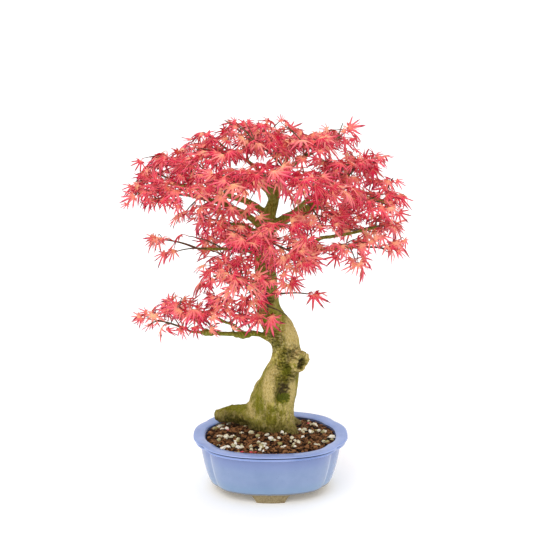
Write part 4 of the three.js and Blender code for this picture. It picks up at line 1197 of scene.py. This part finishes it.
def bark_at(p):
    """How far the bark stands out at p in millimetres, and the numbers that its shader needs there."""
    mossy = 2 * strongest(p, MOSS_SPOTS)
    push, mossy, dark = open_scar(p, plain_bark(p), mossy)
    away = away_from(p, HEALED_AT, HEALED_SIZE)
    if away < 1.6 and p.y < 0:
        push += 0.8 * math.exp(-((away - 1.05) / 0.22) ** 2) - 0.5 * max(0, 1 - away)
        mossy = max(mossy, 0.5 * max(0, 1 - away))
    push, dark = stump_end(p, push, dark)
    # Painted shade, with some stains: darker under the roots, at the trunk's foot and round the scars
    shade = (0.98 + 0.84 * noise.noise(p * 0.35)) * strongest(p, PAINTED_SHADE_AND_STAINS)
    # Painted shade in the troughs of the folds
    for middle, size, up, across, depth in FOLDS:
        near = bump_at(p, middle, size)
        wave = math.sin(p.z * up + across * p.x + 4 * noise.noise(p * 0.13))
        push += near * depth * wave
        shade = max(shade, near * max(0, -wave - 0.2) * 1.2)
    # Painted light: a pale band over the callus lip, where light falls on it
    ring = (p - CALLUS_AT).length
    lit = 0.9 * math.exp(-((ring - 15) / 4.5) ** 2) * (0.7 + noise.noise(p * 0.3)) if p.x > 27 else 0
    low_limb = share_between(-p.x, 14, 24) if p.z > 190 else 0
    return push, {
        "moss": mossy, "hollow": dark, "shade": min(1, shade),
        "young": max(share_between(p.z, 228, 288), low_limb),
        "folded": max(bump_at(p, row[0], row[1]) for row in FOLDS),
        "pale": lit + 1.8 * strongest(p, PALE_BARK_AND_PAINTED_LIGHT),
    }


def plain_bark(p):
    """Lengthwise ridges, lumps and roughness, weaker on the thin wood higher up."""
    ridge = noise.noise(Vector([place * waves for place, waves in zip(p, RIDGE_WAVES)]))
    ridge *= 0.35 + 0.65 * share_between(192 - p.z, 0, 20)
    lump = noise.noise(p * LUMPS[0] + Vector((3.1, 0, 0)))
    fine = noise.noise(p * ROUGHNESS_OF_BARK[0])
    crag = noise.noise(p * CRAGS[0])
    craggy = ROOT_CRAGS if p.x < -30 and p.z < 122 else OTHER_CRAGS
    thick = 1 if p.z < 250 else 0.5
    return thick * (RIDGE_DEPTH * ridge + LUMPS[1] * lump + ROUGHNESS_OF_BARK[1] * fine + CRAGS[1] * craggy * crag)


def open_scar(p, push, mossy):
    """The squarish recess of an old cut: a rolled edge, torn dark wood above and moss below."""
    aside, _, above = ((a - b) / s for a, b, s in zip(p, SCAR_AT, SCAR_SIZE))
    away = (abs(aside) ** 5 + abs(above) ** 5) ** 0.2
    if away >= 1.5 or p.y >= 4:
        return push, mossy, 0
    push += 1.5 * math.exp(-((away - 1.12) / 0.16) ** 2) - 4.2 * max(0, 1 - away) ** 0.5
    ragged = 1.1 + 0.3 * noise.noise(p * 0.4)
    cut = min(1, 4 * max(0, ragged - away))
    mossy *= min(1, away)
    if p.z > SCAR_AT[2] - 1.5 + 3 * noise.noise(p * 0.25):  # the torn wood, over the moss
        bits = 1 - 0.6 * max(0, noise.noise(p * 0.3 + Vector((5, 0, 0))) * 2 - 0.2)
        return push, mossy, max(0, 0.95 * bits * cut)
    mossy = max(mossy, 1.7 * cut * (1 + 0.4 * noise.noise(p * 0.45)))
    return push, mossy, 0.25 * cut * max(0, noise.noise(p * 0.5))


def stump_end(p, push, dark):
    """The torn face of the stump, painted darker towards its middle."""
    from_stump = p - CALLUS_AT
    along = from_stump.dot(CALLUS_AXIS)
    aside = from_stump - CALLUS_AXIS * along
    if along <= -4 or aside.length >= CALLUS_REACH:
        return push, dark
    push += 2.2 * noise.noise(p * 0.15) + 1.3 * noise.noise(p * 0.36)
    darker_inward = 0.6 * max(0, 1.25 - aside.length / 9)
    wood_grain = 0.75 + 0.7 * noise.noise(p * 0.5)
    hollow = 2.8 * wood_grain * max(0, 1 - (aside - Vector((0.8, 0, -0.5))).length / 10)
    return push, max(dark, darker_inward, min(0.92, hollow))


def make_limbs(material):
    """The limbs beyond their collars, as round wood with a knuckle at every bud."""
    runs = []
    for number, path in enumerate(LIMBS.values()):
        run = []
        for k, row in enumerate(smooth_path(path, LIMB_STEPS)[LIMB_START:]):
            knuckle = 1 + KNUCKLE * max(0, math.sin(k * 1.9 + number)) ** 4
            wander = Vector([draw(LIMB_DRAWS + axis, number, k) - 0.5 for axis in range(3)]) * LIMB_WANDER
            run.append((tuple(Vector(row[:3]) + wander), row[3] * LIMB_SHARE * knuckle))
        runs.append(run)
    limbs = strands("maple_limbs", runs, material, 10)
    for name, value in LIMB_NUMBERS.items():
        set_numbers(limbs.data, name, [value] * len(limbs.data.vertices))
    smooth(limbs, 60)
    finished(limbs, ["trunk"])


# Leaves

def lobe_sheet(reach, rows_beyond):
    """One lobe of a leaf as a flat sheet along +X, two faces wide, from the leaf's middle to its tip."""
    rows = [(0, 0), (LOBE_CUT, LOBE_CUT * math.tan(math.radians(LOBE_WEDGE)))]
    for share, wide in LOBE_ROWS[rows_beyond]:
        rows.append((LOBE_CUT + (reach - LOBE_CUT) * share, wide * (0.3 + 0.7 * reach)))
    rows.append((reach, 0))
    lobe = made_by(bpy.ops.mesh.primitive_grid_add, "lobe", x_subdivisions=len(rows) - 1, y_subdivisions=2, size=2)
    step = 2 / (len(rows) - 1)
    for vertex in lobe.data.vertices:
        distance, wide = rows[round((vertex.co.x + 1) / step)]
        vertex.co = (distance, round(vertex.co.y) * wide, 0)
    return lobe


def flat_leaf():
    """The seven lobes joined into one flat hand."""
    lobes = []
    for turn, reach, rows_beyond in LOBES:
        lobe = lobe_sheet(reach, rows_beyond)
        lobe.data.transform(Matrix.Rotation(math.radians(turn), 4, "Z"))
        lobes.append(lobe)
    leaf = join(lobes, "leaf")
    with editing(leaf):
        bpy.ops.mesh.remove_doubles(threshold=1e-4)
        bpy.ops.mesh.dissolve_degenerate(threshold=1e-5)
        bpy.ops.mesh.normals_make_consistent(inside=False)
    return leaf


def make_leaf_patterns():
    """The hand of seven lobes, closed below by plain faces, at many states of curl."""
    leaf = flat_leaf()
    points = points_of(leaf.data)
    faces = [tuple(p.vertices) for p in leaf.data.polygons]
    if leaf.data.polygons[0].normal.z < 0:
        faces = [tuple(reversed(face)) for face in faces]
    bpy.data.objects.remove(leaf)
    turns = np.array([turn for turn, _, _ in LOBES])
    reach = np.hypot(points[:, 0], points[:, 1])
    angle = np.degrees(np.arctan2(points[:, 1], points[:, 0]))
    lobe = np.argmin(np.abs(angle[:, None] - turns[None, :]), axis=1)
    rib = np.clip(reach * np.abs(np.sin(np.radians(angle - turns[lobe]))) / 0.07, 0, 1)
    middle = int(np.argmin(reach))
    under = len(points)
    low_faces = []
    for number in range(len(LOBES)):
        rim = [i for i in range(len(points)) if reach[i] > 1e-3 and near_lobe(angle[i], turns[number], rib[i])]
        rim.sort(key=lambda i: rim_order(angle[i] - turns[number], reach[i]))
        low_faces.append((under, *reversed(rim)))
    rand = random.Random(SEED)
    return [curled(faces + low_faces, reach, lobe, angle, rib, middle, rand) for _ in range(LEAF_KINDS)]


def near_lobe(angle, turn, rib):
    return abs(angle - turn) < LOBE_WEDGE + 0.2 and (rib > 0.05 or abs(angle - turn) < 0.2)


def rim_order(turn, reach):
    """Sorts a lobe's edge from the cut on its right, out to the tip and back to the cut on its left."""
    return (-1, reach) if turn < -0.2 else (1, -reach) if turn > 0.2 else (0, 0)


def curled(faces, reach, lobe, angle, rib, middle, rand):
    """The flat leaf with its lobes drawn together, bent down each in its own way and folded at the ribs."""
    def one_each(low, high):
        return np.array([rand.uniform(low, high) for _ in LOBES])

    spread = rand.uniform(*OPENNESS)
    droop = rand.uniform(*DROOP)
    turns = np.array([turn for turn, _, _ in LOBES], dtype=float)
    closing = turns * (spread - 1)
    own_droop = droop + one_each(-OWN_DROOP, OWN_DROOP)
    own_turn = closing + one_each(-OWN_TURN, OWN_TURN)
    own_reach = one_each(*OWN_REACH)
    own_tone = one_each(-1, 1)
    free = np.clip((reach - LOBE_CUT) / 0.15, 0, 1)
    smooth_turn = closing[lobe] + (angle - turns[lobe]) * (spread - 1) * (1 - free)
    turned = np.radians(angle + smooth_turn + (own_turn[lobe] - closing[lobe]) * free)
    far = reach * (1 + (own_reach[lobe] - 1) * free)
    bend = far ** 1.6 * (droop + (own_droop[lobe] - droop) * free)
    shrink = 1 - 0.4 * droop * far
    fold = -0.05 * rib * np.clip(reach * 3, 0, 1)
    top = np.stack([far * np.cos(turned) * shrink, far * np.sin(turned) * shrink, fold - bend], axis=1)
    low = top[middle] - np.array([0, 0, LEAF_THICKNESS])
    numbers = {"reach": reach, "rib": rib, "tone": own_tone[lobe]}
    numbers = {name: np.concatenate([values, [0]]) for name, values in numbers.items()}
    return Pattern(np.concatenate([top, [low]]), faces, numbers)


class Stem:
    """A twig from its carrier to its tip, on the same curve as in the solids."""

    def __init__(self, root, tip, bend):
        self.root, self.tip = Vector(root), Vector(tip)
        self.middle = (self.root + self.tip) / 2
        self.middle.z += bend * (self.tip - self.root).length
        points = [self.point(i / 200) for i in range(201)]
        self.length = sum((b - a).length for a, b in zip(points, points[1:]))

    def point(self, t):
        return self.root * (1 - t) ** 2 + self.middle * 2 * t * (1 - t) + self.tip * t * t

    def run(self, thick, thin):
        """The points and radii of the twig, thick at its root and thin at its tip."""
        return [(tuple(self.point(t / 8)), thick + (thin - thick) * t / 8) for t in range(9)]

    def heading(self, t):
        return ((self.middle - self.root) * (1 - t) + (self.tip - self.middle) * t).normalized()


def point_on(path, share):
    """The point a share of the way along a path's rows."""
    place = share * (len(path) - 1)
    i = min(math.floor(place), len(path) - 2)
    return Vector(path[i][:3]).lerp(Vector(path[i + 1][:3]), place - i)


def leaf_pose(foot, heading, stalk, spray, number):
    """How a leaf stands on its stem: away from it, outwards and with its face to the light."""
    spread = [draw(spray, number, k) * 2 - 1 for k in range(8)]
    away = (foot - CROWN_CENTRE).normalized()
    level = Vector((away.x, away.y, 0)).normalized()
    pitch, wave = LEAF_PITCH
    out = Vector((LEAF_SWAY * spread[1], LEAF_SWAY * spread[2], pitch + wave * spread[3]))
    out = (out + level * 0.25 + Vector((heading.x, heading.y, 0.4 * heading.z))).normalized()
    up = Vector((LEAF_TILT * spread[4], LEAF_TILT * spread[5], 0.5)) + away * 0.5
    up = (up - out * up.dot(out)).normalized()
    length = LEAF_LENGTH * (1 + LENGTH_SPREAD * spread[6])
    reach = stalk * (1 + STALK_SPREAD * spread[7])
    middle = foot + out * reach * 0.85 + up * reach * 0.5
    return {"foot": foot, "out": out, "up": up, "length": length, "middle": middle}


def turned_heading(along, turn):
    """A heading turned to the left by so many degrees, or to the right where turn is below 0."""
    if turn == 0:
        return along
    across = Vector((0, 0, 1)).cross(along).normalized() * math.copysign(1, turn)
    angle = math.radians(abs(turn))
    return along * math.cos(angle) + across * math.sin(angle)


def leaf_places(stem, count):
    """The feet of a stem's own leaves: pairs up the stem and one at its tip."""
    pairs = [pair for pair in PAIRS if pair[0] < stem.length - 8]
    places = []
    for n in range(min(count, 2 * len(pairs))):
        back, turn, stalk = pairs[n // 2]
        ends = [stem.point(1 - distance / stem.length) for distance in (back, back + NODE_LENGTH)]
        along = stem.heading(1 - back / stem.length)
        places.append(((ends[0] + ends[1]) / 2, turned_heading(along, -turn if n % 2 else turn), stalk))
    return places + [(stem.tip.copy(), stem.heading(1), END_STALK)]


def points_in_node(name):
    """A search tree of a CAD node's points, in millimetres from the middle of the pot."""
    places = (points_of(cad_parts[name].data) - np.array(POT_MIDDLE)) / MM
    tree = KDTree(len(places))
    for i, place in enumerate(places):
        tree.insert(place, i)
    tree.balance()
    return tree


def middle_tip(pose):
    """Where the solid has the tip of a leaf's middle lobe."""
    return pose["middle"] + pose["out"] * pose["length"] - pose["up"] * 0.18 * pose["length"]


def grown_poses(stem, count, spray, tree):
    """The leaves that the solid has on this stem, each found by the tip of its middle lobe."""
    poses = []
    for n, (foot, heading, stalk) in enumerate(leaf_places(stem, count)):
        tried = [leaf_pose(foot, heading, stalk, spray, n + 20 * k) for k in range(TRIES)]
        poses.append(next((pose for pose in tried if tree.find(middle_tip(pose))[2] < 0.05), None))
    return poses


def stem_in_solid(carrier, share, tip, count, spray, tree):
    """The stem whose curve the solid has: the one on which most of its leaves are found."""
    root = point_on(path_of(carrier), share)
    choices = [Stem(root, tip, bend) for bend in BENDS]
    found = [grown_poses(stem, count, spray, tree) for stem in choices]
    best = max(range(len(choices)), key=lambda i: sum(pose is not None for pose in found[i]))
    return choices[best], found[best]


def leaf_matrix(pose, roll):
    """The place of a leaf in the frame, rolled round its middle lobe."""
    side = pose["up"].cross(pose["out"]).normalized()
    axes = Matrix((pose["out"], side, pose["up"])).transposed().to_4x4()
    scale = Matrix.Scale(pose["length"] * MM, 4)
    return Matrix.Translation(at(*pose["middle"])) @ axes @ Matrix.Rotation(roll, 4, "X") @ scale


def run_through(points, radii):
    return [(tuple(point), radius) for point, radius in zip(points, radii)]


def stalk_run(pose):
    """A leaf's stalk, from its stem to the blade."""
    foot, middle = pose["foot"], pose["middle"]
    knee = (foot + middle) / 2 + pose["up"] * 0.08 * (middle - foot).length
    return run_through((foot, knee, middle), STALK_RADII)


def side_twigs(stem, spray, fullness):
    """Short twigs to both sides of a stem, each with leaves of its own."""
    runs, poses = [], []
    for k in range(fullness):
        twig = TWIG_DRAWS + k
        back = FIRST_TWIG + k * TWIG_GAP + 5 * draw(spray, twig, 1)
        if back > stem.length - 6:
            break
        t = 1 - back / stem.length
        foot = stem.point(t)
        way = 1 if (k + spray) % 2 else -1
        heading = turned_heading(stem.heading(t), way * drawn(TWIG_TURN, spray, twig, 2))
        heading.z += drawn(TWIG_RISE, spray, twig, 3)
        heading.normalize()
        length = drawn(TWIG_LENGTH, spray, twig, 4)
        knee = foot + heading * length * 0.55 + Vector((0, 0, 1.6))
        tip = foot + heading * length
        runs.append(run_through((foot, knee, tip), TWIG_RADII))
        for n, (at_tip, turn, stalk) in enumerate(TWIG_LEAVES):
            number = TWIG_LEAF_DRAWS + 10 * k + n
            pose = leaf_pose(tip if at_tip else knee, turned_heading(heading, turn), stalk * 0.8, spray, number)
            pose["length"] *= drawn(TWIG_LEAF_SIZE, spray, number, 8)
            side = pose["up"].cross(pose["out"])
            pitch = Matrix.Rotation((draw(spray, number, 14) - 0.45) * 1.3, 3, side)
            tilt = Matrix.Rotation((draw(spray, number, 13) - 0.5) * 2.2, 3, pose["out"])
            pose["up"] = pitch @ tilt @ pose["up"]
            pose["out"] = pitch @ pose["out"]
            poses.append(pose)
    return runs, poses


def leaf_tint(pose, spray, number):
    """How crimson a leaf is: more on top of the crown, less low down and inside."""
    height = (pose["middle"].z - 250) / 250
    return min(1, max(0, 0.36 + 0.24 * height + 1.15 * (draw(spray, number, 9) - 0.5)))


def seen(point):
    """Where a point appears from the front, in the plane of the trunk: x and height."""
    ray = point - VIEW_FROM
    place = VIEW_FROM - ray * (VIEW_FROM.y / ray.y)
    return place.x, place.z


def within(outline, x, z):
    """Whether a point lies inside a closed outline."""
    inside = False
    for (ax, az), (bx, bz) in zip(outline, outline[1:] + outline[:1]):
        if (az > z) != (bz > z) and x < ax + (z - az) / (bz - az) * (bx - ax):
            inside = not inside
    return inside


def in_crown(pose, reach):
    """Whether a leaf's middle lobe, as far as reach, stays inside the crown as it looks from the front."""
    tip = pose["middle"] + pose["out"] * pose["length"] * reach - pose["up"] * 0.25 * pose["length"] * reach
    return any(within(outline, *seen(tip)) for outline in FRONT_OUTLINES)


def shoot_leaves(tip, heading, spray, count):
    """Leaves at the end of a small shoot, in pairs below one at its tip."""
    poses = []
    for n, turn in enumerate(SHOOT_TURNS[:count]):
        foot = tip - heading * 3 * abs(turn) / 60
        number = SHOOT_LEAF_DRAWS + n
        pose = leaf_pose(foot, turned_heading(heading, turn), SHOOT_STALK, spray, number)
        pose["length"] *= drawn(SHOOT_LEAF_SIZE, spray, number, 8)
        poses.append(pose)
    return poses


def foliage(name, runs, poses, spray, finishes):
    """One piece from twigs, their leaves and the leaves' stalks."""
    blade, stalk, wood, patterns = finishes
    placed = []
    for number, pose in enumerate(poses):
        pick = int(draw(spray, number, 11) * LEAF_KINDS)
        roll = 1.1 * (draw(spray, number, 12) - 0.5)
        tint = pose.get("tint", leaf_tint(pose, spray, number))
        placed.append((patterns[pick], leaf_matrix(pose, roll), tint))
    blades = copies("blades", placed, blade)
    twigs = strands("twigs", runs, wood)
    stalks = strands("stalks", [stalk_run(pose) for pose in poses], stalk)
    piece = join([blades, twigs, stalks], "foliage_" + name)
    smooth(piece, 50)
    return piece


def make_sprays(finishes):
    """The sprays that the solids have, each with its side twigs. Returns their stems."""
    stems = []
    for spray, (name, (carrier, share, tip, count)) in enumerate(SPRAYS.items()):
        node = "spray_" + name
        stem, grown = stem_in_solid(carrier, share, tip, count, spray, points_in_node(node))
        own = [pose for pose in grown if pose is not None]
        for pose in own:
            if not in_crown(pose, 1):
                pose["length"] *= OUTER_LEAF
        runs, more = side_twigs(stem, spray, FULLNESS.get(name, SIDE_TWIGS))
        more = [pose for pose in more if in_crown(pose, TWIG_LEAF_REACH)]
        runs.insert(0, stem.run(*SPRAY_STEM_RADII))
        finished(foliage(name, runs, own + more, spray, finishes), [node])
        stems.append(stem)
    return stems


def make_shoots(finishes):
    """The small shoots that only the scene has."""
    for spray, (name, (carrier, share, tip, count)) in enumerate(SHOOTS.items(), SHOOT_DRAWS):
        root = point_on(path_of(carrier), share)
        stem = Stem(root, tip, 0.12)
        poses = shoot_leaves(stem.tip, stem.heading(1), spray, count)
        finished(foliage("shoot_" + name, [stem.run(*SHOOT_RADII)], poses, spray, finishes), [])


def make_fallen_bits(finishes):
    """A few withered leaves on the soil, most of them by the front of the rim."""
    blade, _, _, patterns = finishes
    placed = []
    for x, y, turn, size in FALLEN_BITS:
        lie = Matrix.Rotation(math.radians(turn), 4, "Z") @ Matrix.Diagonal((1, 0.5, 0.7, 1))
        place = Matrix.Translation(at(x, y, soil_height(x, y) + 3))
        placed.append((patterns[turn % LEAF_KINDS], place @ lie @ Matrix.Scale(size * MM, 4), 0.9))
    piece = copies("fallen_leaf_bits", placed, blade)
    smooth(piece, 40)
    finished(piece, [])


def open_leaf(x, y, z, turn, length, tint):
    """A leaf that faces the front, on a stalk from behind it."""
    turn = math.radians(turn)
    out = Vector((math.cos(turn), -0.2, math.sin(turn))).normalized()
    up = Vector((0.1 * math.cos(3 * turn), -1, 0.4))
    up = (up - out * up.dot(out)).normalized()
    middle = Vector((x, y, z))
    foot = middle - out * 4 - up * 7
    length *= OPEN_LEAF_GROWTH
    return {"foot": foot, "out": out, "up": up, "length": length, "middle": middle, "tint": tint + OPEN_LEAF_TINT}


def make_open_leaves(stems, finishes):
    """The open leaves, each on a twig from the nearest wood."""
    wood = [Vector(row[:3]) for path in (TRUNK, *LIMBS.values()) for row in smooth_path(path, 3)]
    wood += [stem.point(t / 8) for stem in stems for t in range(9)]
    poses = [open_leaf(*row) for row in OPEN_LEAVES]
    runs = []
    for pose in poses:
        root = min(wood, key=lambda place: (place - pose["foot"]).length)
        middle = (root + pose["foot"]) / 2 + Vector((0, 0, 0.08 * (root - pose["foot"]).length))
        runs.append(run_through((root, middle, pose["foot"]), OPEN_TWIG_RADII))
    finished(foliage("open_leaves", runs, poses, OPEN_LEAF_DRAWS, finishes), [])


# Stage, light and camera

def make_stage():
    """A pale floor and even white light from all round."""
    floor = made_by(bpy.ops.mesh.primitive_plane_add, "floor", size=60)
    finish = Finish("pale_floor")
    finish.set(Base_Color=(0.93, 0.93, 0.93, 1), Roughness=0.9)
    finish.set(Emission_Color=(1, 1, 1, 1), Emission_Strength=FLOOR_GLOW)
    floor.data.materials.append(finish.material)
    world = bpy.data.worlds.new("studio")
    world.use_nodes = True
    background = world.node_tree.nodes["Background"]
    background.inputs["Color"].default_value = (1, 1, 1, 1)
    background.inputs["Strength"].default_value = SURROUND
    scene = bpy.context.scene
    scene.world = world
    scene.view_settings.view_transform = "Standard"
    for name, (towards, spread, power) in SUNS.items():
        soft_sun(name, towards, spread, power)


def soft_sun(name, towards, spread, power):
    """Even studio light from one side, with soft shadows."""
    light = bpy.data.lights.new(name, "SUN")
    light.angle = math.radians(spread)
    light.energy = power
    linked(name, light).rotation_euler = Vector(towards).to_track_quat("Z", "Y").to_euler()


def make_camera():
    """The photo's view: level with the crown's top half, looking a little down."""
    camera = bpy.data.cameras.new("camera")
    camera.lens = LENS
    camera.sensor_width = SENSOR
    view = linked("camera", camera)
    view.location = at(*VIEW_FROM)
    view.rotation_euler = (math.radians(90 - VIEW_PITCH), 0, 0)
    bpy.context.scene.camera = view


make_pot()
for side in ("left", "right"):
    make_net(side)
make_soil()
bark = bark_finish()
make_wood(bark)
make_limbs(bark)
finishes = (leaf_finish(), plain_finish("leaf_stalk"), plain_finish("young_wood"), make_leaf_patterns())
make_open_leaves(make_sprays(finishes), finishes)
make_shoots(finishes)
make_fallen_bits(finishes)
make_stage()
make_camera()
